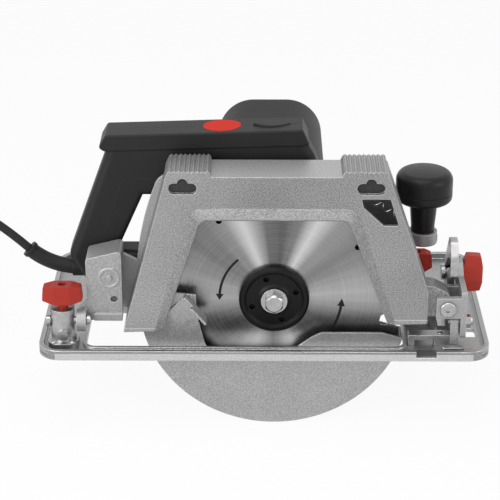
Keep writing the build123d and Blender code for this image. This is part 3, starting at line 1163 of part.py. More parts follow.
def make_tilt_wing_nut():
    """Wing nut on the tilt stud, lying along X with its span upright."""
    nut = wing_grip() - Pos(0, 0, WING_HEIGHT / 2) * Cylinder(STUD_RADIUS + RUN_CLEAR, WING_HEIGHT + 2)
    return Pos(WING_FRONT_X, STUD_Y, STUD_Z) * Rot(0, 90, 0) * nut


NODES = {
    "saw_blade": make_blade,
    "carbide_tips": make_carbide_tips,
    "outer_flange": make_outer_flange,
    "inner_flange": make_inner_flange,
    "blade_washer": make_blade_washer,
    "blade_bolt": make_blade_bolt,
    "spindle": make_spindle,
    "drive_wheel": make_drive_wheel,
    "front_spindle_bearing": lambda: make_bearing(
        BEARING_RADIUS, SPINDLE_RADIUS + RUN_CLEAR, FRONT_BEARING_NEAR, BEARING_WIDTH, 0, ARBOR_HEIGHT
    ),
    "rear_spindle_bearing": lambda: make_bearing(
        REAR_BEARING_RADIUS,
        SPINDLE_RADIUS + RUN_CLEAR,
        REAR_BEARING_NEAR,
        REAR_BEARING_WIDTH,
        0,
        ARBOR_HEIGHT,
    ),
    "lower_guard": make_lower_guard,
    "guard_lever": make_guard_lever,
    "guard_retainer": make_guard_retainer,
    "upper_guard": make_upper_guard,
    "guard_screws": make_guard_screws,
    "base_plate": make_base_plate,
    "fence_bridge": make_fence_bridge,
    "fence_block": make_fence_block,
    "rear_hinge_post": make_rear_post,
    "front_hinge_lug": make_front_lug,
    "tilt_pins": make_tilt_pins,
    "tilt_quadrant": make_tilt_quadrant,
    "front_yoke": make_front_yoke,
    "depth_pivot": make_depth_pivot,
    "tilt_stud": make_tilt_stud,
    "rear_bracket": make_rear_bracket,
    "depth_stud": make_depth_stud,
    "depth_lever": make_depth_lever,
    "gear_case": make_gear_case,
    "motor_housing": make_motor_housing,
    "motor_end_cap": make_motor_end_cap,
    "cap_screws": make_cap_screws,
    "motor_pinion": make_motor_pinion,
    "armature_shaft": make_armature_shaft,
    "armature_core": make_armature_core,
    "commutator": make_commutator,
    "cooling_fan": make_cooling_fan,
    "motor_bearings": make_motor_bearings,
    "stator": make_stator,
    "brush_holders": make_brush_holders,
    "carbon_brushes": make_carbon_brushes,
    "handle_near": make_handle_near,
    "handle_far": make_handle_far,
    "handle_screws": make_handle_screws,
    "switch_body": make_switch_body,
    "trigger": make_trigger,
    "trigger_pin": make_trigger_pin,
    "lock_button": make_lock_button,
    "front_knob": make_knob,
    "knob_stud": make_knob_stud,
    "rear_wing_screw": lambda: wing_on((POST_X, TILT_Y, POST_TOP + WING_NECK), 2 * WING_NECK),
    "tilt_wing_nut": make_tilt_wing_nut,
    "fence_wing_screw": make_fence_wing,
    "cord_boot": make_cord_boot,
    "cord_lead": make_cord_lead,
    "cord_coil": make_cord_coil,
    "cord_tie": make_cord_tie,
    "plug_body": make_plug_body,
    "plug_pins": make_plug_pins,
}


def as_shape(made):
    """One solid stays as it is; a list becomes a group of separate solids."""
    return Compound(children=list(made)) if isinstance(made, list) else made


if __name__ == "__main__":
    for name, make in NODES.items():
        export_step(as_shape(make()), f"parts/{name}.step")
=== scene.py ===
# %% [markdown]
# # A circular saw, dressed for the studio
# The solids of the saw come from CAD as one fixed frame, in metres: +X forward along the cut,
# +Y from the blade to the motor, +Z up. Blender never moves them. This lesson gives every solid
# the finish of its real material, adds the soft lead and the small marks, and lights the set.

# %% Load the frame
import json
import math

import bmesh
import bpy
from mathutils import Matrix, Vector

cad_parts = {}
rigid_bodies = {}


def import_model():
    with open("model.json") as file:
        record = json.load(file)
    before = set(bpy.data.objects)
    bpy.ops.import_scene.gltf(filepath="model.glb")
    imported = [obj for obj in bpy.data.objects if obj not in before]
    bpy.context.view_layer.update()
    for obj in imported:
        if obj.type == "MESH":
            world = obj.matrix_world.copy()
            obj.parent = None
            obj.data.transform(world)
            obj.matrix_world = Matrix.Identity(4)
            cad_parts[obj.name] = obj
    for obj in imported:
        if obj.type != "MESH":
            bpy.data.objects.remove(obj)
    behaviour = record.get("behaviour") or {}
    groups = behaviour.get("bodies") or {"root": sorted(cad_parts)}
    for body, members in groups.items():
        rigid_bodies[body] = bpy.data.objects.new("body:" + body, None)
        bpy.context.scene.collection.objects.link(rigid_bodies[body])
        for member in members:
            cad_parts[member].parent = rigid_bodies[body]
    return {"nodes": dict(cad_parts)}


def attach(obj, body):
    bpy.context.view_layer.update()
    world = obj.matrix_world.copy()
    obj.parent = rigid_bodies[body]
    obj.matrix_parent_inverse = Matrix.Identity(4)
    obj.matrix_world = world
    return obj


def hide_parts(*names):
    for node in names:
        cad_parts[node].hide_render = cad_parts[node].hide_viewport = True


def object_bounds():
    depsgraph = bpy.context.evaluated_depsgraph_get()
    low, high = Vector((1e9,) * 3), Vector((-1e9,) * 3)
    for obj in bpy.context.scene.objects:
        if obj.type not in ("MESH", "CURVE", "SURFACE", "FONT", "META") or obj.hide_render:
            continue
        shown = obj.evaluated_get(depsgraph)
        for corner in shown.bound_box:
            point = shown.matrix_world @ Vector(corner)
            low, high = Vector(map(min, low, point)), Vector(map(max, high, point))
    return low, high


for leftover in list(bpy.data.objects):
    bpy.data.objects.remove(leftover, do_unlink=True)
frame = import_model()
nodes = frame["nodes"]
cad_low, cad_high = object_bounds()
print("solids loaded:", len(nodes))

# %% [markdown]
# ## Writing shaders as sums
# A finish is easier to read as a sum than as a web of nodes. Value wraps one socket, and the
# operators on it add Math nodes, so that 1 - mask works as it does with plain numbers.


# %% Sums that become nodes
class Value:
    """A number, colour or vector on its way through a finish."""

    def __init__(self, finish, socket):
        self.finish = finish
        self.socket = socket

    def sum(self, kind, first, second=0.0):
        return self.finish.add("ShaderNodeMath", {"operation": kind}, {0: first, 1: second})

    def __add__(self, other):
        return self.sum("ADD", self, other)

    def __sub__(self, other):
        return self.sum("SUBTRACT", self, other)

    def __rsub__(self, other):
        return self.sum("SUBTRACT", other, self)

    def __mul__(self, other):
        return self.sum("MULTIPLY", self, other)

    def __truediv__(self, other):
        return self.sum("DIVIDE", self, other)

    def __neg__(self):
        return self.sum("MULTIPLY", self, -1.0)

    def __lt__(self, other):
        return self.sum("LESS_THAN", self, other)

    def __gt__(self, other):
        return self.sum("GREATER_THAN", self, other)

    def __abs__(self):
        return self.sum("ABSOLUTE", self)

    def power(self, other):
        return self.sum("POWER", self, other)

    def limit(self):
        return self.finish.add("ShaderNodeClamp", {}, {"Value": self})

    __radd__ = __add__
    __rmul__ = __mul__


# %% [markdown]
# ## One finish, one material
# Finish holds one material and adds any other node by its type, with its settings and what feeds
# its sockets. A few short methods give the nodes that every surface of the saw needs: grain, a mix of
# two colours, edges that catch the light and a bump.


# %% A material that grows by its nodes
class Finish:
    """One material with a principled surface, and the nodes that feed it."""

    def __init__(self, name):
        self.material = bpy.data.materials.new(name)
        self.material.use_nodes = True
        self.tree = self.material.node_tree
        self.tree.nodes.clear()
        self.surface = self.tree.nodes.new("ShaderNodeBsdfPrincipled")
        out = self.tree.nodes.new("ShaderNodeOutputMaterial")
        self.tree.links.new(self.surface.outputs[0], out.inputs[0])

    def feed(self, socket, value):
        if isinstance(value, Value):
            self.tree.links.new(value.socket, socket)
        else:
            socket.default_value = value

    def add(self, kind, settings=None, inputs=None, out=0):
        node = self.tree.nodes.new(kind)
        for key, value in (settings or {}).items():
            if key == "stops":
                ramp = node.color_ramp.elements
                while len(ramp) < len(value):
                    ramp.new(0.5)
                for stop, (place, shade) in zip(ramp, value):
                    stop.position = place
                    stop.color = (shade, shade, shade, 1)
            else:
                setattr(node, key, value)
        for key, value in (inputs or {}).items():
            self.feed(node.inputs[key], value)
        return Value(self, node.outputs[out])

    def place(self):
        return self.add("ShaderNodeTexCoord", out="Object")

    def axes(self):
        split = self.tree.nodes.new("ShaderNodeSeparateXYZ")
        self.feed(split.inputs[0], self.place())
        return [Value(self, split.outputs[i]) for i in range(3)]

    def grain(self, scale, detail=2.0, rough=0.6, where=None):
        inputs = {"Vector": where or self.place(), "Scale": scale, "Detail": detail, "Roughness": rough}
        return self.add("ShaderNodeTexNoise", {}, inputs)

    def mix(self, share, first, second):
        return self.add("ShaderNodeMix", {"data_type": "RGBA"}, {0: share, 6: first, 7: second}, out=2)

    def soft_edges(self, radius):
        return self.add("ShaderNodeBevel", {"samples": 4}, {"Radius": radius})

    def edge_mask(self, soft, gain):
        true = self.add("ShaderNodeNewGeometry", out="Normal")
        settings = {"operation": "DOT_PRODUCT"}
        same = self.add("ShaderNodeVectorMath", settings, {0: soft, 1: true}, out="Value")
        return ((1.0 - same) * gain).limit()

    def bump(self, height, strength, depth, normal=None):
        inputs = {"Height": height, "Strength": strength, "Distance": depth}
        if normal:
            inputs["Normal"] = normal
        return self.add("ShaderNodeBump", {}, inputs)

    def done(self, **sockets):
        for key, value in sockets.items():
            title = key.replace("_", " ").title().replace("Ior", "IOR")
            self.feed(self.surface.inputs[title], value)
        return self.material


def grey(level):
    return (level, level, level, 1.0)


def report(*finishes):
    print("finishes made:", ", ".join(finish.name for finish in finishes))


# %% [markdown]
# ## Cast and pressed metal
# The upper guard, the bracket and the fork are die castings, blasted to a fine even grain, and the
# lower guard and the shoe are pressed sheet with a weaker one. Grain of about a millimetre shows as
# speckle in colour and as a shallow bump, a slow noise keeps big faces from looking flat, and worn
# edges are lighter. Rounding every edge in the mesh would take many faces, so a bevel node rounds
# only the light on sharp corners.


# %% Cast aluminium, pressed sheet
def cast_metal(name, dark, light, grain, roughness, metal, edge_radius, marks_and_painted_light=None):
    f = Finish(name)
    speckle = f.grain(grain, 2.0, 0.6)
    slow = f.grain(22.0, 2.0, 0.5)
    tone = ((speckle - 0.5) * 4.2 + (slow - 0.5) * 0.6 + 0.5).limit()
    soft = f.soft_edges(edge_radius)
    worn = f.edge_mask(soft, 5.0)
    colour = f.mix(tone, dark, light)
    # Where a function is given, it paints light and shade, and any real streaks, into the colour.
    if marks_and_painted_light:
        colour = marks_and_painted_light(f, colour, tone)
    colour = f.mix(worn * 0.65, colour, grey(0.92))
    rough = roughness + (speckle - 0.5) * 0.25 - worn * 0.12
    normal = f.bump(speckle, 0.35, 0.0004, soft)
    return f.done(base_color=colour, metallic=metal, roughness=rough, normal=normal)


# %% [markdown]
# ## Painted light and shade on the guard
# The guard's colour carries painted light and shade. The bevel's top over the window is painted bright and
# its right flank dark, the broad face above it is painted darker, the left leg lighter, the tops that face
# up lighter, and the two pockets near black; a painted highlight line and a lighter band stand in for a lip
# at the foot of the legs. A painted texture could show that, but a mask that is worked out from the place
# on the guard stays sharp at any size. The window's outline is four corners in X and Z, with round ones at
# the top, and the same corners cut the bevel free in a later step.

# %% Painted light and shade on the guard
BEVEL_CORNERS = [(-0.09604, 0.015), (-0.06603, 0.12353), (0.06403, 0.12353), (0.09704, 0.023)]
BEVEL_ROUND, BEVEL_FOOT_ROUND = 0.010, 0.002
BEVEL_BLUR = 0.0006
GUARD_FACE = -0.0200
GUARD_TOP = 0.1400
POCKET_PLACES = [-0.071, 0.074]
POCKET_HEIGHT = 0.1415
POCKET_WIDE, POCKET_HIGH = 0.0118, 0.0078
LEFT_FOOT, RIGHT_FOOT = 0.0202, 0.0282
LIP_HIGHLIGHT_HALF, FACE_SKIN = 0.0004, 0.0005
BROW_LOW, BROW_RISE, BROW_REACH = 0.100, 0.025, 0.080
SHIN_RISE, SHIN_EDGE = 0.060, -0.060


def right_of_edge(x, z, low, high):
    """Distance of a place from the slanted edge between two corners."""
    lean = (high[0] - low[0]) / (high[1] - low[1])
    return (x - low[0] - (z - low[1]) * lean) / math.hypot(1.0, lean)


def window_band(x, y, z, rising):
    """Two masks of the bevel round the window, for painted light and painted shade: its top, which faces
    down, and its right flank.
    """
    left_foot, left_top, right_top, right_foot = BEVEL_CORNERS
    left = right_of_edge(x, z, left_foot, left_top)
    right = -right_of_edge(x, z, right_foot, right_top)
    down = left_top[1] - z
    short = (BEVEL_ROUND - down).limit()
    side = (BEVEL_ROUND - left).limit() + (BEVEL_ROUND - right).limit()
    depth = BEVEL_ROUND - (short * short + side * side).power(0.5)
    inside = (depth / BEVEL_BLUR).limit() * (y < GUARD_FACE + 0.004)
    upper = inside * ((-rising - 0.12) / 0.14).limit()
    return upper, inside * (x > 0.0) * (1.0 - upper)


def pocket_floor(x, y, z):
    """Mask of the two shaped pockets in the near face, behind their rims, which are painted near black as
    painted shade.
    """
    high = abs(z - POCKET_HEIGHT) < POCKET_HIGH
    deep = (y > GUARD_FACE + 0.0002) * (y < GUARD_FACE + 0.0030)
    first, second = [abs(x - place) < POCKET_WIDE for place in POCKET_PLACES]
    return (first + second) * high * deep


def guard_painted_light(f, colour, tone):
    """Painted light and shade: the face over the window darker, the left leg lighter, a painted lip, the
    bevel's top brighter and its flank darker, the upturned tops lighter and the pockets near black.
    """
    x, y, z = f.axes()
    way = f.tree.nodes.new("ShaderNodeSeparateXYZ")
    f.feed(way.inputs[0], f.add("ShaderNodeNewGeometry", out="True Normal"))
    rising = Value(f, way.outputs[2])
    upper, flank = window_band(x, y, z, rising)
    top = (rising > 0.9) * (z > GUARD_TOP)
    brow = ((z - BROW_LOW) / BROW_RISE).limit() * (1.0 - abs(x) / BROW_REACH).limit()
    shin = ((BROW_LOW - z) / SHIN_RISE).limit() * (x < SHIN_EDGE)
    foot = LEFT_FOOT + (x > 0.0) * (RIGHT_FOOT - LEFT_FOOT)
    on_face = y < GUARD_FACE + FACE_SKIN
    toe = (z < foot) * on_face
    lip_highlight = (abs(z - foot) < LIP_HIGHLIGHT_HALF) * on_face
    # The face over the window is painted darker, as painted shade, and the left leg painted lighter, as
    # painted light.
    colour = f.mix(brow * 0.55, colour, f.mix(tone, grey(0.13), grey(0.30)))
    colour = f.mix(shin * 0.45, colour, f.mix(tone, grey(0.25), grey(0.46)))
    # A lighter band and a painted highlight line stand in for the step of a lip at the foot of the legs.
    colour = f.mix(toe * 0.5, colour, f.mix(tone, grey(0.22), grey(0.52)))
    colour = f.mix(lip_highlight * 0.45, colour, grey(0.80))
    # The bevel's top, which faces down, is painted bright, and its right flank painted dark: painted light
    # and painted shade.
    colour = f.mix(upper * 0.85, colour, f.mix(tone, grey(0.27), grey(0.58)))
    colour = f.mix(flank * 0.6, colour, f.mix(tone, grey(0.15), grey(0.29)))
    # Faces that look up are painted lighter, as painted light from above.
    colour = f.mix(top * 0.6, colour, f.mix(tone, grey(0.42), grey(0.70)))
    # The pockets are painted near black, as painted shade in the recesses.
    return f.mix(pocket_floor(x, y, z) * 0.92, colour, grey(0.012))


guard_cast = cast_metal("guard_cast", grey(0.185), grey(0.375), 1000.0, 0.46, 0.5, 0.0009, guard_painted_light)
report(guard_cast)


# %% [markdown]
# ## Streaks, painted light and painted shade on the shoe
# The near rim of the shoe slides along fences and benches, and its top has fine streaks along the cut.
# Its low front face is painted bright, a painted highlight, and the trough behind it is painted dark, as
# painted shade.

# %% Streaks, painted light and painted shade on the shoe
SHOE_NEAR = cad_low[1]
RIM_TOP, RIM_WIDE = 0.0058, 0.0038
TROUGH_NEAR, TROUGH_FAR = -0.0326, -0.0220
SHEET_LOW, SHEET_HIGH = 0.0020, 0.0040


def shoe_streaks_and_painted_light(f, colour, tone):
    """The rim's near face is painted bright, a painted highlight, its top is streaked, and the trough
    behind it is painted dark, as painted shade.
    """
    x, y, z = f.axes()
    near = y < SHOE_NEAR + RIM_WIDE
    rim = (y < SHOE_NEAR + FACE_SKIN) * (z < RIM_TOP)
    trough = (y > TROUGH_NEAR) * (y < TROUGH_FAR) * (z > SHEET_LOW) * (z < SHEET_HIGH)
    along = f.add("ShaderNodeCombineXYZ", {}, {0: x * 14.0, 1: y * 1500.0, 2: z * 1500.0})
    streak = ((f.grain(1.0, 2.0, 0.6, along) - 0.5) * 2.6 + 0.5).limit()
    # Painted shade in the trough behind the rim.
    colour = f.mix(trough * 0.75, colour, grey(0.13))
    colour = f.mix(near * 0.8, colour, f.mix(streak, grey(0.14), grey(0.42)))
    # The rim's near face painted bright, a painted highlight.
    return f.mix(rim * 0.9, colour, f.mix(tone, grey(0.50), grey(0.66)))


# %% The other castings and sheets
cast_aluminium = cast_metal("cast_aluminium", grey(0.29), grey(0.42), 1100.0, 0.46, 0.5, 0.0009)
guard_sheet = cast_metal("guard_sheet", grey(0.28), grey(0.47), 1200.0, 0.42, 0.70, 0.0006)
shoe_sheet = cast_metal("shoe_sheet", grey(0.29), grey(0.46), 1200.0, 0.34, 0.85, 0.0010)
shoe_plate = cast_metal("shoe_plate", grey(0.27), grey(0.44), 1200.0, 0.34, 0.85, 0.0010, shoe_streaks_and_painted_light)
lever_sheet = cast_metal("lever_sheet", grey(0.30), grey(0.44), 1100.0, 0.36, 0.80, 0.0006)
report(cast_aluminium, guard_sheet, shoe_sheet, shoe_plate, lever_sheet)


# %% [markdown]
# ## The ground blade
# A saw blade is ground on a turntable, so its scratches run in circles round the bore, and light
# lies on it in a fan of rays. The finish works in polar places round the arbor: fast noise across
# the radius makes the scratches, and a slow ramp round the angle paints that fan into the colour,
# with radial streaks, as painted reflections. Two plain arrows show which way it turns. Each is an
# arc with a head that narrows to a point.


# %% Blade steel
ARBOR = 0.039
FLANGE_RADIUS = 0.0272
LEFT_RING, LEFT_ARC = 0.0435, (49, 4)
RIGHT_RING, RIGHT_ARC = 0.0540, (35, 8)
ARROW_LINE, HEAD_WIDE, HEAD_LONG = 0.00105, 0.0032, 0.020
# Stops of the fan: bright and dark lobes by the angle round the arbor, painted reflections.
PAINTED_FAN = [
    [(0.0, 0.55), (0.05, 0.25), (0.11, 0.12), (0.195, 0.80), (0.25, 0.20), (0.305, 0.80), (0.36, 0.30)],
    [(0.43, 0.16), (0.515, 0.62), (0.59, 0.20), (0.64, 0.38), (0.672, 1.0), (0.70, 0.18)],
    [(0.735, 0.04), (0.77, 0.12), (0.81, 1.0), (0.845, 0.30), (0.895, 0.14), (0.96, 0.42), (1.0, 0.55)],
]


def arrow(radius, angle, ring, arc):
    """Mask of an arc at a radius, between two angles in degrees, with a head past its end."""
    start, end = [0.5 - degrees / 360 for degrees in arc]
    along = (angle > start) * (angle < end) * ARROW_LINE
    point = (angle > end) * (1.0 - (angle - end) / HEAD_LONG) * HEAD_WIDE
    return abs(radius - ring) < (along + point)


def turns_round(f, across, up):
    """Angle of a place about the arbor, from 0 to 1 for a whole turn."""
    return f.add("ShaderNodeMath", {"operation": "ARCTAN2"}, {0: up, 1: across}) / (2 * math.pi) + 0.5


def ground_steel():
    f = Finish("blade_steel")
    x, _, z = f.axes()
    up = z - ARBOR
    radius = (x * x + up * up).power(0.5)
    turn = turns_round(f, x, up)
    polar = f.add("ShaderNodeCombineXYZ", {}, {0: radius * 2600.0, 1: turn * 5.0, 2: 0.0})
    scratch = f.grain(1.0, 3.0, 0.6, polar)
    # The fan and the radial streaks below are painted reflections in the colour.
    fan = f.add("ShaderNodeValToRGB", {"stops": sum(PAINTED_FAN, [])}, {0: turn})
    rays = f.add("ShaderNodeCombineXYZ", {}, {0: turn * 60.0, 1: radius * 6.0, 2: 3.0})
    streak = f.grain(1.0, 2.0, 0.5, rays)
    tone = (fan + (streak - 0.5) * 0.25 + (scratch - 0.5) * 0.52).limit()
    steel = f.mix(tone, grey(0.11), grey(0.62))
    left = arrow(radius, turns_round(f, -x, -up), LEFT_RING, LEFT_ARC)
    right = arrow(radius, turn, RIGHT_RING, RIGHT_ARC)
    under_flange = radius < FLANGE_RADIUS
    ink = (left + right + under_flange).limit()
    colour = f.mix(ink, steel, grey(0.004))
    rough = 0.30 + (scratch - 0.5) * 0.25 + ink * 0.3
    normal = f.bump(scratch, 0.25, 0.0002)
    return f.done(base_color=colour, metallic=1.0 - ink * 0.6, roughness=rough, normal=normal)


blade_steel = ground_steel()
report(blade_steel)


# %% [markdown]
# ## Turned, plated and blacked steel
# Bolts, pins and bearings are turned and zinc plated, so they are bright with a cloudy sheen.
# The blade flange is blacked: nearly black, satin, with a grey shine on its worn rim.


# %% Small metal finishes
def plated(name, dark, light, roughness, edge_light, scale=160.0, metal=1.0, shine=0.5):
    f = Finish(name)
    cloud = f.grain(scale, 4.0, 0.6)
    soft = f.soft_edges(0.0004)
    worn = f.edge_mask(soft, 2.0)
    colour = f.mix(worn * 0.6, f.mix(cloud, dark, light), edge_light)
    rough = roughness + (cloud - 0.5) * 0.3
    normal = f.bump(cloud, 0.12, 0.0003, soft)
    looks = {"base_color": colour, "metallic": metal, "roughness": rough, "normal": normal}
    return f.done(specular_ior_level=shine, **looks)


zinc_cast = plated("zinc_cast", grey(0.24), grey(0.62), 0.34, grey(0.95), 260.0)
bright_steel = plated("bright_steel", grey(0.26), grey(0.60), 0.26, grey(0.95))
carbide = plated("carbide", grey(0.20), grey(0.34), 0.35, grey(0.55), 900.0)
black_steel = plated("black_steel", grey(0.003), grey(0.009), 0.40, grey(0.06), 700.0, 0.1, 0.18)
copper = plated("copper", (0.42, 0.16, 0.07, 1), (0.70, 0.34, 0.17, 1), 0.32, (0.85, 0.5, 0.3, 1))
lamination = plated("lamination", grey(0.09), grey(0.20), 0.5, grey(0.3), 400.0)
report(zinc_cast, bright_steel, carbide, black_steel, copper, lamination)


# %% [markdown]
# ## Moulded plastic and rubber
# The handle, motor and knob are black moulded plastic with a fine spark texture. The handle is two
# halves, so a thin parting line runs along it where they meet, at a fixed place across the tool.
# The wings are red with the same texture, and two of them wear a lighter copy of the red, as painted light.
# The lead is smoother rubber.


# %% Plastic finishes
PARTING = 0.040
SEAM_HALF = 0.00035
RED, LIGHT_RED, PALE_RED = (0.29, 0.022, 0.015, 1), (0.40, 0.036, 0.024, 1), (0.52, 0.056, 0.038, 1)
WORN_RED = (0.62, 0.10, 0.08, 1)


def moulded(name, dark, light, grain, roughness, edge, seam=None, shine=0.18):
    f = Finish(name)
    texture = f.grain(grain, 3.0, 0.65)
    slow = f.grain(30.0, 3.0, 0.5)
    soft = f.soft_edges(0.0008)
    worn = f.edge_mask(soft, 2.0)
    colour = f.mix((texture * 0.8 + slow * 0.5 - 0.15).limit(), dark, light)
    colour = f.mix(worn * 0.45, colour, edge)
    height = texture
    if seam is not None:
        across = f.axes()[1]
        line = abs(across - seam) < SEAM_HALF
        colour = f.mix(line * 0.8, colour, grey(0.004))
        height = texture - line * 3.0
    rough = roughness + (texture - 0.5) * 0.2 + (slow - 0.5) * 0.1
    normal = f.bump(height, 0.3, 0.00025, soft)
    return f.done(base_color=colour, roughness=rough, normal=normal, specular_ior_level=shine)


black_plastic = moulded("black_plastic", grey(0.010), grey(0.024), 1500.0, 0.46, grey(0.07))
handle_plastic = moulded("handle_plastic", grey(0.010), grey(0.024), 1500.0, 0.46, grey(0.07), PARTING)
motor_plastic = moulded("motor_plastic", grey(0.009), grey(0.020), 1500.0, 0.46, grey(0.06), None, 0.12)
knob_plastic = moulded("knob_plastic", grey(0.010), grey(0.018), 1500.0, 0.33, grey(0.05), None, 0.20)
red_plastic = moulded("red_plastic", RED, LIGHT_RED, 1200.0, 0.44, WORN_RED)
# A lighter copy of the red, painted light for two wings that the lamps leave in shade.
painted_lit_red = moulded("painted_lit_red", LIGHT_RED, PALE_RED, 1200.0, 0.44, WORN_RED)
rubber = moulded("rubber", grey(0.014), grey(0.026), 900.0, 0.52, grey(0.05))
carbon = moulded("carbon", grey(0.02), grey(0.05), 1500.0, 0.7, grey(0.08))
report(black_plastic, handle_plastic, motor_plastic, knob_plastic, red_plastic, painted_lit_red, rubber, carbon)

# %% [markdown]
# ## Which solid wears which finish
# A plain table keeps the choice in one place. A solid that isn't in it is bright steel, as the bolts,
# pins, bearings and shafts are. The finish is put on the solid's own mesh, whose shape stays as it is.

# %% Dress the solids
WARDROBE = {
    "upper_guard": guard_cast,
    "gear_case rear_bracket front_yoke": cast_aluminium,
    "lower_guard": guard_sheet,
    "base_plate": shoe_plate,
    "fence_bridge fence_block front_hinge_lug": shoe_sheet,
    "rear_hinge_post tilt_quadrant": zinc_cast,
    "guard_lever": lever_sheet,
    "saw_blade": blade_steel,
    "carbide_tips": carbide,
    "outer_flange depth_lever": black_steel,
    "motor_housing motor_end_cap": motor_plastic,
    "front_knob": knob_plastic,
    "switch_body cooling_fan trigger lock_button plug_body": black_plastic,
    "handle_near handle_far": handle_plastic,
    "rear_wing_screw": red_plastic,
    # These two wings wear the lighter red, as painted light.
    "tilt_wing_nut fence_wing_screw": painted_lit_red,
    "cord_boot cord_lead cord_coil cord_tie": rubber,
    "commutator brush_holders": copper,
    "stator armature_core": lamination,
    "carbon_brushes": carbon,
}
dressed = {}
for names, finish in WARDROBE.items():
    for name in names.split():
        dressed[name] = finish
for name, solid in nodes.items():
    solid.data.materials.clear()
    solid.data.materials.append(dressed.get(name, bright_steel))
print("dressed by the table:", len(dressed), "and in bright steel:", len(nodes) - len(dressed))

# %% [markdown]
# ## The bevel round the window
# The window of the casting has a wide bevel on its near edge. The solid keeps a skin of a hundredth
# of a millimetre in front of it, thinner than anything cast. The guard that shows is a copy of the
# solid with that skin taken off by a Boolean, and its tool is a thin plate of the bevel's outline.
# The short helpers come first, because the later pieces use them too.


# %% From points to objects
def show(name, data):
    """New object in the scene that holds a mesh, a curve, a lamp or a lens."""
    made = bpy.data.objects.new(name, data)
    bpy.context.scene.collection.objects.link(made)
    return made


def closed_mesh(name, work):
    """Mesh of a shape that was built face by face, with every face turned outwards."""
    bmesh.ops.recalc_face_normals(work, faces=work.faces)
    mesh = bpy.data.meshes.new(name)
    work.to_mesh(mesh)
    work.free()
    return mesh


def plain_mesh(holder):
    """What an object's modifiers make of it, as a mesh of its own."""
    ready = holder.evaluated_get(bpy.context.evaluated_depsgraph_get())
    return bpy.data.meshes.new_from_object(ready)


def smooth_to(mesh, angle):
    """Smooth shading, with edges kept sharp where they turn by more than an angle in degrees."""
    mesh.shade_smooth()
    mesh.set_sharp_from_angle(angle=math.radians(angle))


# %% Tools for the bevel
SAME_POINT = 1e-7


def rounded(corners, radii, steps=12):
    """Outline in X and Z with an arc at each corner."""
    points = []
    for i, radius in enumerate(radii):
        here = Vector(corners[i])
        back = (Vector(corners[i - 1]) - here).normalized()
        on = (Vector(corners[(i + 1) % len(corners)]) - here).normalized()
        half = back.angle(on) / 2
        centre = here + (back + on).normalized() * (radius / math.sin(half))
        start = here + back * (radius / math.tan(half)) - centre
        end = here + on * (radius / math.tan(half)) - centre
        points += [centre + start.slerp(end, k / steps) for k in range(steps + 1)]
    return points


def plate(name, outline, near, far):
    """Closed plate of an outline, from one place across the tool to another."""
    work = bmesh.new()
    rings = [[work.verts.new((x, y, z)) for x, z in outline] for y in (near, far)]
    for ring in rings:
        work.faces.new(ring)
    for i in range(len(outline)):
        work.faces.new((rings[0][i - 1], rings[0][i], rings[1][i], rings[1][i - 1]))
    return show(name, closed_mesh(name, work))


def merged_copy(solid, name):
    """Copy of a solid whose loose triangles are joined at their corners."""
    mesh = solid.data.copy()
    if "custom_normal" in mesh.attributes:
        mesh.attributes.remove(mesh.attributes["custom_normal"])
    work = bmesh.new()
    work.from_mesh(mesh)
    bmesh.ops.remove_doubles(work, verts=work.verts, dist=SAME_POINT)
    work.to_mesh(mesh)
    work.free()
    return show(name, mesh)


# %% Guard with an open bevel
SKIN_NEAR, SKIN_FAR = GUARD_FACE - 0.0002, GUARD_FACE + 0.000015
BEVEL_RADII = [BEVEL_FOOT_ROUND, BEVEL_ROUND, BEVEL_ROUND, BEVEL_FOOT_ROUND]

guard_shell = merged_copy(nodes["upper_guard"], "guard_shell")
skin_tool = plate("skin_tool", rounded(BEVEL_CORNERS, BEVEL_RADII), SKIN_NEAR, SKIN_FAR)
cut = guard_shell.modifiers.new("open_bevel", "BOOLEAN")
cut.operation = "DIFFERENCE"
cut.solver = "EXACT"
cut.object = skin_tool
opened = plain_mesh(guard_shell)
guard_shell.modifiers.remove(cut)
bpy.data.objects.remove(skin_tool)
print("guard faces before and after:", len(guard_shell.data.polygons), len(opened.polygons))
guard_shell.data = opened
opened.name = "guard_shell"
opened.materials.clear()
opened.materials.append(guard_cast)
smooth_to(opened, 25)
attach(guard_shell, "saw_unit")
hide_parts("upper_guard")

# %% [markdown]
# ## The front knob
# The knob is turned: a low broad head with a soft shoulder and a fine parting groove, on a stem that
# narrows downwards to the arm. One profile spun round its axis gives all of it. The profile is a list
# of radius and height, with a quarter of an ellipse for each rounded edge, and it goes back up the
# bore that the stud sits in, so that the shape is closed.


# %% Turned knob
KNOB_AXIS = (0.1210, 0.0500)
KNOB_TOP, SHOULDER, GROOVE, HEAD_FOOT, NECK = 0.1291, 0.1205, 0.1110, 0.1070, 0.1000
HEAD_RADIUS, GROOVE_DEEP, GROOVE_HALF = 0.0230, 0.0005, 0.0004
SHOULDER_ROUND, FOOT_ROUND, NECK_ROUND = (0.0070, 0.0076), (0.0040, 0.0044), (0.0024, 0.0022)
NECK_RADIUS = 0.0135
ARM_TOP, BORE_TOP, BORE_RADIUS = 0.0760, 0.0951, 0.00405


def quarter(centre, radii, first, last, steps=8):
    """Part of an ellipse in radius and height, between two angles in degrees."""
    points = []
    for k in range(steps + 1):
        angle = math.radians(first + (last - first) * k / steps)
        points.append((centre[0] + radii[0] * math.cos(angle), centre[1] + radii[1] * math.sin(angle)))
    return points


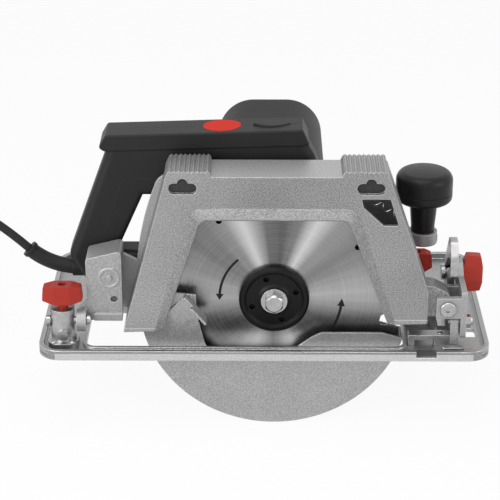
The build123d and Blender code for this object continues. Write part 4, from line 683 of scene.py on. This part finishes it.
def knob_profile():
    """Radius and height from the crown, down the outside and back up the bore."""
    top = [(0.0, KNOB_TOP), (0.006, KNOB_TOP - 0.0001), (0.012, KNOB_TOP - 0.0005)]
    shoulder = quarter((HEAD_RADIUS - SHOULDER_ROUND[0], SHOULDER), SHOULDER_ROUND, 90, 0)
    groove = [(HEAD_RADIUS, GROOVE + GROOVE_HALF), (HEAD_RADIUS - GROOVE_DEEP, GROOVE + GROOVE_HALF / 2)]
    groove += [(radius, 2 * GROOVE - height) for radius, height in reversed(groove)]
    under = quarter((HEAD_RADIUS - FOOT_ROUND[0], HEAD_FOOT), FOOT_ROUND, 0, -90)
    neck = quarter((NECK_RADIUS, NECK), NECK_ROUND, 90, 180)
    stem = [(0.0106, 0.0920), (0.0099, 0.0840), (0.0094, ARM_TOP + 0.0006), (0.0088, ARM_TOP)]
    bore = [(BORE_RADIUS, ARM_TOP), (BORE_RADIUS, BORE_TOP), (0.0, BORE_TOP)]
    return top + shoulder + groove + under + neck + stem + bore


def turned(name, profile, axis, finish, segments=64):
    """Mesh of a profile spun round an upright axis, with one point at each end."""
    work = bmesh.new()
    ends = [work.verts.new((*axis, profile[i][1])) for i in (0, -1)]
    rings = []
    for radius, height in profile[1:-1]:
        ring = []
        for k in range(segments):
            angle = 2 * math.pi * k / segments
            x, y = axis[0] + radius * math.cos(angle), axis[1] + radius * math.sin(angle)
            ring.append(work.verts.new((x, y, height)))
        rings.append(ring)
    for k in range(segments):
        work.faces.new((ends[0], rings[0][k - 1], rings[0][k]))
        for upper, lower in zip(rings, rings[1:]):
            work.faces.new((upper[k - 1], lower[k - 1], lower[k], upper[k]))
        work.faces.new((rings[-1][k - 1], ends[1], rings[-1][k]))
    mesh = closed_mesh(name, work)
    mesh.materials.append(finish)
    smooth_to(mesh, 40)
    return show(name, mesh)


turned_knob = turned("turned_knob", knob_profile(), KNOB_AXIS, knob_plastic)
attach(turned_knob, "saw_unit")
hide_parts("front_knob")
print("knob faces:", len(turned_knob.data.polygons))

# %% [markdown]
# ## The pad inside the grip
# The hand's opening is narrow, because the grip is deep and its inner side carries on under the bar.
# A moulded pad gives the solid handle that depth. It is a stack of slices across the tool: each is
# the same bent outline, and near both sides its inner edge steps back along a quarter circle, so the
# edges that the fingers meet are round. The middle slices stop short, which leaves a slot for the
# trigger. The rest of the pad is sunk in the handle.


# %% Grip pad
PAD_NEAR, PAD_FAR, PAD_ROUND = 0.02575, 0.05425, 0.0050
PAD_UNDER, PAD_FOOT, PAD_HEAD = 0.1150, 0.0630, 0.1300
PAD_EDGE, PAD_LEAN = (-0.1046, 0.1154), 0.444
SUNK_HEAD, SUNK_FOOT = -0.1205, -0.1440
CHEEK_FRONT, SLOT_FRONT = -0.0800, -0.0985
SLOT_NEAR, SLOT_STEP = 0.0324, 0.0002


def pad_slice(work, across, inset, front):
    """One slice of the pad, with its inner edge moved back by an inset, as far forward as given."""
    back = inset * math.hypot(1.0, PAD_LEAN)
    under = PAD_UNDER + inset
    corner = PAD_EDGE[0] + (under - PAD_EDGE[1]) * PAD_LEAN - back
    heel = PAD_EDGE[0] + (PAD_FOOT - PAD_EDGE[1]) * PAD_LEAN - back
    outline = [(SUNK_HEAD, PAD_HEAD), (front, PAD_HEAD), (front, under)]
    outline += [(corner, under), (heel, PAD_FOOT), (SUNK_FOOT, PAD_FOOT)]
    return [work.verts.new((x, across, z)) for x, z in outline]


def pad_places(steps=6):
    """Place across, inset and front of every slice, from the near side to the far one."""
    slices = []
    for k in range(steps + 1):
        angle = math.pi / 2 * k / steps
        depth = PAD_ROUND * (1 - math.cos(angle))
        slices.append((PAD_NEAR + depth, PAD_ROUND * (1 - math.sin(angle)), CHEEK_FRONT))
    slices += [(SLOT_NEAR, 0.0, CHEEK_FRONT), (SLOT_NEAR + SLOT_STEP, 0.0, SLOT_FRONT)]
    both = PAD_NEAR + PAD_FAR
    return slices + [(both - across, inset, front) for across, inset, front in reversed(slices)]


def make_pad(name, finish):
    """Slices joined one to the next, and closed at both ends."""
    work = bmesh.new()
    rings = [pad_slice(work, *place) for place in pad_places()]
    for near, far in zip(rings, rings[1:]):
        for i in range(len(near)):
            work.faces.new((near[i - 1], near[i], far[i], far[i - 1]))
    work.faces.new(rings[0])
    work.faces.new(rings[-1])
    mesh = closed_mesh(name, work)
    mesh.materials.append(finish)
    smooth_to(mesh, 35)
    return show(name, mesh)


grip_pad = make_pad("grip_pad", handle_plastic)
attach(grip_pad, "saw_unit")
print("pad faces:", len(grip_pad.data.polygons))

# %% [markdown]
# ## The lead
# The lead leaves its strain relief, rises in a bow and goes down to the floor, where the length
# that isn't in use lies in a coil of two layers. It is one smooth curve: a spline on the same
# points as the CAD route, and on the coil's own rule for the turns.

# %% Route of the lead
CORD_RADIUS = 0.0035
COIL_PITCH = 0.0079
COIL_TURNS = 4
COIL_INNER = 0.029
COIL_LAYER = 0.0078
FLOOR = -0.0684
COIL_REST = FLOOR + CORD_RADIUS + 0.0016
COIL_START = (-0.379, 0.166)
COIL_END = 2 * COIL_TURNS - 0.375
COIL_TAIL = 0.034
COIL_CROSS = 0.25
BOOT_ROOT = (-0.159, PARTING, 0.0475)
BEND, TURN, STRAIGHT = 0.058, math.radians(43.6), 0.024
EXIT = (BOOT_ROOT[0] - BEND * math.sin(TURN), PARTING, BOOT_ROOT[2] + BEND - BEND * math.cos(TURN))
ROUTE = [
    EXIT,
    (EXIT[0] - STRAIGHT, PARTING, EXIT[2] + STRAIGHT * math.tan(TURN)),
    (-0.258, 0.044, 0.103),
    (-0.298, 0.053, 0.101),
    (-0.340, 0.066, 0.072),
    (-0.370, 0.084, 0.024),
    (-0.384, 0.100, -0.024),
    (COIL_START[0], COIL_START[1] - 0.044, COIL_REST),
    (COIL_START[0], COIL_START[1], COIL_REST),
]


def coil_point(turn):
    """Place on the coil after a number of turns: in along the lower layer, out along the upper."""
    outer = COIL_INNER + COIL_PITCH * COIL_TURNS
    radius, height = outer - COIL_PITCH * turn, 0.0
    if turn > COIL_TURNS + COIL_CROSS:
        radius, height = outer - COIL_PITCH * (2 * COIL_TURNS - turn), COIL_LAYER
    elif turn >= COIL_TURNS - COIL_CROSS:
        share = (turn - COIL_TURNS + COIL_CROSS) / (2 * COIL_CROSS)
        radius = COIL_INNER + COIL_PITCH * (COIL_CROSS / 2 + 2 * (turn - COIL_TURNS) ** 2)
        height = COIL_LAYER * (1 - math.cos(math.pi * share)) / 2
    angle = math.radians(180 - 360 * turn)
    centre = COIL_START[0] + outer
    return (centre + radius * math.cos(angle), COIL_START[1] + radius * math.sin(angle), COIL_REST + height)


def lead_places(per_turn=16):
    """The route, the turns of the coil and the straight tail that the plug sits on."""
    count = int(COIL_END * per_turn)
    last, before = Vector(coil_point(COIL_END)), Vector(coil_point(COIL_END - 0.001))
    heading = (last - before).normalized()
    tail = [tuple(last + heading * COIL_TAIL * share) for share in (0.0, 0.5, 1.0)]
    return ROUTE + [coil_point((i + 1) / per_turn) for i in range(count)] + tail


print("places on the lead:", len(lead_places()))


def make_lead(points):
    curve = bpy.data.curves.new("lead", "CURVE")
    curve.dimensions = "3D"
    curve.bevel_depth = CORD_RADIUS
    curve.bevel_resolution = 5
    curve.resolution_u = 6
    curve.use_fill_caps = True
    spline = curve.splines.new("NURBS")
    spline.points.add(len(points) - 1)
    for point, place in zip(spline.points, points):
        point.co = (*place, 1.0)
    spline.order_u = 3
    spline.use_endpoint_u = True
    curve.materials.append(rubber)
    return show("lead", curve)


lead = make_lead(lead_places())
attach(lead, "saw_unit")
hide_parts("cord_lead", "cord_coil")

# %% [markdown]
# ## A blank sticker on the handle
# A blank red oval lies on the bar. It could be a patch of colour in the handle's finish, but a sticker
# has a thickness that catches the light. So it is a thin disc with a soft rim, sunk a little in the
# sloping top face, and it stands a fifth of a millimetre proud of it.

# %% Sticker
STICKER_AT = (-0.0416, 0.0408)
STICKER_HALF = (0.0150, 0.0130)
STICKER_THICK, STICKER_SUNK = 0.00025, 0.00005
STICKER_RIM = [(1.0, 0.0), (1.0, 0.7), (0.985, 1.0)]
BAR_REAR, BAR_REAR_TOP = -0.133, 0.1665
BAR_SLOPE = 5.0 / 155.0
BAR_TOP = BAR_REAR_TOP + BAR_SLOPE * (STICKER_AT[0] - BAR_REAR)


def sticker_finish():
    f = Finish("sticker_red")
    film = f.grain(600.0, 2.0, 0.5)
    colour = f.mix(film, (0.60, 0.026, 0.014, 1), (0.68, 0.036, 0.020, 1))
    return f.done(base_color=colour, roughness=0.48 + film * 0.1, specular_ior_level=0.08)


def make_sticker(name, count=64):
    """Flat oval with a rounded rim, tilted to the slope of the bar."""
    verts = []
    for scale, rise in STICKER_RIM:
        for i in range(count):
            angle = 2 * math.pi * i / count
            x = STICKER_HALF[0] * scale * math.cos(angle)
            y = STICKER_HALF[1] * scale * math.sin(angle)
            z = BAR_TOP - STICKER_SUNK + x * BAR_SLOPE + rise * STICKER_THICK
            verts.append((STICKER_AT[0] + x, STICKER_AT[1] + y, z))
    faces = []
    for low in range(0, len(verts) - count, count):
        for i in range(count):
            j = (i + 1) % count
            faces.append((low + i, low + j, low + count + j, low + count + i))
    faces.append(tuple(range(len(verts) - count, len(verts))))
    faces.append(tuple(reversed(range(count))))
    mesh = bpy.data.meshes.new(name)
    mesh.from_pydata(verts, [], faces)
    mesh.materials.append(sticker_finish())
    return show(name, mesh)


sticker = make_sticker("sticker")
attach(sticker, "saw_unit")
print("sticker on the bar at height", round(BAR_TOP, 4))

# %% [markdown]
# ## Degree marks and rivets
# The tilt quadrant has a mark every five degrees, and the hinge feet are riveted to the shoe. Both
# repeat one small shape, so Geometry Nodes puts a stamp on each of a few points and makes it real.


# %% Stamps on points
def stamp_tree(name, finish, kind):
    """A tree that puts one stamp on every point: a dome or a bar, of a size given as an input."""
    tree = bpy.data.node_groups.new(name, "GeometryNodeTree")
    tree.interface.new_socket("Geometry", in_out="INPUT", socket_type="NodeSocketGeometry")
    size = tree.interface.new_socket("Size", in_out="INPUT", socket_type="NodeSocketVector")
    tree.interface.new_socket("Geometry", in_out="OUTPUT", socket_type="NodeSocketGeometry")
    add = tree.nodes.new
    link = tree.links.new
    entry, leave = add("NodeGroupInput"), add("NodeGroupOutput")
    if kind == "dome":
        shape = add("GeometryNodeMeshUVSphere")
        shape.inputs["Segments"].default_value = 20
        shape.inputs["Rings"].default_value = 10
        shape.inputs["Radius"].default_value = 1.0
    else:
        shape = add("GeometryNodeMeshCube")
    turn = add("GeometryNodeInputNamedAttribute")
    turn.data_type = "FLOAT_VECTOR"
    turn.inputs["Name"].default_value = "turn"
    euler = add("FunctionNodeEulerToRotation")
    link(turn.outputs["Attribute"], euler.inputs[0])
    spread = add("GeometryNodeInstanceOnPoints")
    link(entry.outputs["Geometry"], spread.inputs["Points"])
    link(shape.outputs["Mesh"], spread.inputs["Instance"])
    link(euler.outputs[0], spread.inputs["Rotation"])
    link(entry.outputs["Size"], spread.inputs["Scale"])
    real = add("GeometryNodeRealizeInstances")
    smooth = add("GeometryNodeSetShadeSmooth")
    smooth.inputs["Shade Smooth"].default_value = kind == "dome"
    paint = add("GeometryNodeSetMaterial")
    paint.inputs["Material"].default_value = finish
    link(spread.outputs[0], real.inputs[0])
    link(real.outputs[0], smooth.inputs[0])
    link(smooth.outputs[0], paint.inputs[0])
    link(paint.outputs[0], leave.inputs[0])
    return tree, size.identifier


def stamps(name, body, places, turns, size, finish, kind):
    """One plain mesh of stamps on the given places, riding on a body."""
    points = bpy.data.meshes.new(name + "_points")
    points.from_pydata(places, [], [])
    mark = points.attributes.new("turn", "FLOAT_VECTOR", "POINT")
    for value, item in zip(turns, mark.data):
        item.vector = value
    holder = show(name + "_points", points)
    tree, size_id = stamp_tree(name, finish, kind)
    modifier = holder.modifiers.new("stamps", "NODES")
    modifier.node_group = tree
    modifier[size_id] = size
    mesh = plain_mesh(holder)
    mesh.name = name
    bpy.data.objects.remove(holder)
    piece = show(name, mesh)
    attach(piece, body)
    print(name, "stamps:", len(places), "faces:", len(mesh.polygons))


# %% Marks on the quadrant
TILT_AXIS = (-0.009, 0.0225)
QUADRANT_X = 0.1451
FIRST_MARK, MARK_STEP, MARK_COUNT = 33.2, 5, 10
MARK_REACH = 0.0528
MARK_SIZE = (0.0003, 0.0035, 0.0005)

mark_places = []
mark_turns = []
for step in range(MARK_COUNT):
    angle = math.radians(FIRST_MARK + MARK_STEP * step)
    y, z = TILT_AXIS[0] + MARK_REACH * math.cos(angle), TILT_AXIS[1] + MARK_REACH * math.sin(angle)
    mark_places.append((QUADRANT_X, y, z))
    mark_turns.append((angle, 0, 0))
stamps("degree_marks", "base", mark_places, mark_turns, MARK_SIZE, black_steel, "bar")

# %% Rivets on the shoe
RIVET_SIZE = (0.0022, 0.0022, 0.0011)
RIVET_PLACES = [
    (-0.1755, -0.0195, 0.0080),
    (-0.1605, -0.0195, 0.0080),
    (0.1330, -0.0090, 0.0120),
    (0.1280, 0.0250, 0.0140),
    (0.1280, 0.0395, 0.0140),
]
upright = [(0, 0, 0)] * len(RIVET_PLACES)
stamps("shoe_rivets", "base", RIVET_PLACES, upright, RIVET_SIZE, bright_steel, "dome")

# %% [markdown]
# ## The spring in the corner
# Through the opening in the corner of the guard a coil spring shows, which pulls the lower guard
# back. A spring is a circle swept along a helix, so Geometry Nodes makes the helix and the sweep.
# The tree makes it upright at the origin, and each point is then turned and moved to its place.

# %% Return spring
SPRING_FROM, SPRING_TO = Vector((0.0755, -0.0125, 0.1285)), Vector((0.0945, -0.0125, 0.1165))
SPRING_TURNS, SPRING_RADIUS, SPRING_WIRE = 2.2, 0.0030, 0.0005


def spring_tree(finish):
    """A tree that sweeps a round wire along a helix of given turns, radius, length and wire."""
    tree = bpy.data.node_groups.new("spring", "GeometryNodeTree")
    ids = {}
    for name in ("Turns", "Radius", "Length", "Wire"):
        made = tree.interface.new_socket(name, in_out="INPUT", socket_type="NodeSocketFloat")
        ids[name] = made.identifier
    tree.interface.new_socket("Geometry", in_out="OUTPUT", socket_type="NodeSocketGeometry")
    add = tree.nodes.new
    link = tree.links.new
    entry, leave = add("NodeGroupInput"), add("NodeGroupOutput")
    helix = add("GeometryNodeCurveSpiral")
    helix.inputs["Resolution"].default_value = 20
    link(entry.outputs["Turns"], helix.inputs["Rotations"])
    link(entry.outputs["Radius"], helix.inputs["Start Radius"])
    link(entry.outputs["Radius"], helix.inputs["End Radius"])
    link(entry.outputs["Length"], helix.inputs["Height"])
    ring = add("GeometryNodeCurvePrimitiveCircle")
    ring.inputs["Resolution"].default_value = 8
    link(entry.outputs["Wire"], ring.inputs["Radius"])
    sweep = add("GeometryNodeCurveToMesh")
    sweep.inputs["Fill Caps"].default_value = True
    link(helix.outputs[0], sweep.inputs["Curve"])
    link(ring.outputs[0], sweep.inputs["Profile Curve"])
    real = add("GeometryNodeRealizeInstances")
    paint = add("GeometryNodeSetMaterial")
    paint.inputs["Material"].default_value = finish
    link(sweep.outputs[0], real.inputs[0])
    link(real.outputs[0], paint.inputs[0])
    link(paint.outputs[0], leave.inputs[0])
    return tree, ids


def make_spring(name, finish):
    """Plain mesh of the helix, laid from one end of the spring to the other."""
    holder = show(name + "_holder", bpy.data.meshes.new(name + "_holder"))
    tree, ids = spring_tree(finish)
    modifier = holder.modifiers.new("spring", "NODES")
    modifier.node_group = tree
    along = SPRING_TO - SPRING_FROM
    sizes = {"Turns": SPRING_TURNS, "Radius": SPRING_RADIUS, "Length": along.length, "Wire": SPRING_WIRE}
    for key, value in sizes.items():
        modifier[ids[key]] = value
    mesh = plain_mesh(holder)
    mesh.name = name
    bpy.data.objects.remove(holder)
    turn = along.to_track_quat("Z", "Y")
    for vertex in mesh.vertices:
        vertex.co = SPRING_FROM + turn @ vertex.co
    mesh.shade_smooth()
    return show(name, mesh)


return_spring = make_spring("return_spring", bright_steel)
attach(return_spring, "saw_unit")
print("spring faces:", len(return_spring.data.polygons))

# %% [markdown]
# ## Floor, light and camera
# A flat pale floor and a white world stand for the studio. The camera sees both as white, and the
# floor still takes a soft shadow. A broad lamp above gives the tops their light, and two weaker ones
# fill the front and the right side. The camera repeats the photograph: a long lens, a little above
# the tool, looking along +Y.


# %% Floor
PAPER_SHADE, WHITE_SHARE = 0.86, 0.93
FLOOR_GAP, FLOOR_HALF = 0.0005, 8.0


def seen_directly(tree):
    """One for rays that look at the set straight, in a mirror or through glass."""
    path = tree.nodes.new("ShaderNodeLightPath")
    total = path.outputs["Is Camera Ray"]
    for name in ("Is Glossy Ray", "Is Transmission Ray"):
        both = tree.nodes.new("ShaderNodeMath")
        both.operation = "MAXIMUM"
        tree.links.new(total, both.inputs[0])
        tree.links.new(path.outputs[name], both.inputs[1])
        total = both.outputs[0]
    return total


def make_floor(height, half):
    mesh = bpy.data.meshes.new("floor")
    corners = [(-half, -half, height), (half, -half, height), (half, half, height), (-half, half, height)]
    mesh.from_pydata(corners, [], [(0, 1, 2, 3)])
    paper = bpy.data.materials.new("paper")
    paper.use_nodes = True
    tree = paper.node_tree
    tree.nodes.clear()
    matt = tree.nodes.new("ShaderNodeBsdfDiffuse")
    matt.inputs["Color"].default_value = grey(PAPER_SHADE)
    glow = tree.nodes.new("ShaderNodeEmission")
    share = tree.nodes.new("ShaderNodeMath")
    share.operation = "MULTIPLY"
    share.inputs[1].default_value = WHITE_SHARE
    tree.links.new(seen_directly(tree), share.inputs[0])
    both = tree.nodes.new("ShaderNodeMixShader")
    out = tree.nodes.new("ShaderNodeOutputMaterial")
    tree.links.new(share.outputs[0], both.inputs[0])
    tree.links.new(matt.outputs[0], both.inputs[1])
    tree.links.new(glow.outputs[0], both.inputs[2])
    tree.links.new(both.outputs[0], out.inputs[0])
    mesh.materials.append(paper)
    show("floor", mesh)


make_floor(FLOOR - FLOOR_GAP, FLOOR_HALF)
print("floor at height", round(FLOOR - FLOOR_GAP, 4))

# %% World
LIT, SEEN = 0.42, 1.0

world = bpy.data.worlds.new("studio")
bpy.context.scene.world = world
world.use_nodes = True
sky = world.node_tree
backdrop = sky.nodes["Background"]
backdrop.inputs["Color"].default_value = grey(1.0)
level = sky.nodes.new("ShaderNodeMapRange")
level.inputs["To Min"].default_value = LIT
level.inputs["To Max"].default_value = SEEN
sky.links.new(seen_directly(sky), level.inputs["Value"])
sky.links.new(level.outputs[0], backdrop.inputs["Strength"])
print("world lights at", LIT, "and shows at", SEEN)


# %% Lamps
def softbox(name, place, aim, power, size):
    lamp = bpy.data.lights.new(name, "AREA")
    lamp.energy = power
    lamp.size = size
    box = show(name, lamp)
    box.location = place
    box.rotation_euler = (Vector(aim) - Vector(place)).to_track_quat("-Z", "Y").to_euler()
    print(name, "at", power, "W")


softbox("top_box", (-0.2, -0.5, 1.7), (0, 0, 0.05), 12.0, 1.4)
softbox("front_box", (-0.9, -0.9, 0.5), (-0.1, 0, 0.05), 10.0, 0.8)
softbox("side_box", (1.3, -0.7, 0.6), (0.1, 0, 0.05), 5.0, 0.8)

# %% Camera
AIM = Vector((-0.01923, 0.0, 0.0798))
DISTANCE = 1.445
ELEVATION, AZIMUTH = math.radians(23.69), math.radians(0.37)
FOCAL_LENGTH, SENSOR, NEAREST = 131.76, 36.0, 0.05

level_way = Vector((math.sin(AZIMUTH), -math.cos(AZIMUTH), 0.0))
back = level_way * math.cos(ELEVATION) + Vector((0.0, 0.0, math.sin(ELEVATION)))
lens = bpy.data.cameras.new("camera")
lens.lens = FOCAL_LENGTH
lens.sensor_width = SENSOR
lens.clip_start = NEAREST
camera = show("camera", lens)
camera.location = AIM + back * DISTANCE
camera.rotation_euler = (-back).to_track_quat("-Z", "Y").to_euler()
bpy.context.scene.camera = camera
bpy.context.scene.view_settings.view_transform = "Standard"
print("camera", DISTANCE, "m from the saw, lens", FOCAL_LENGTH, "mm")
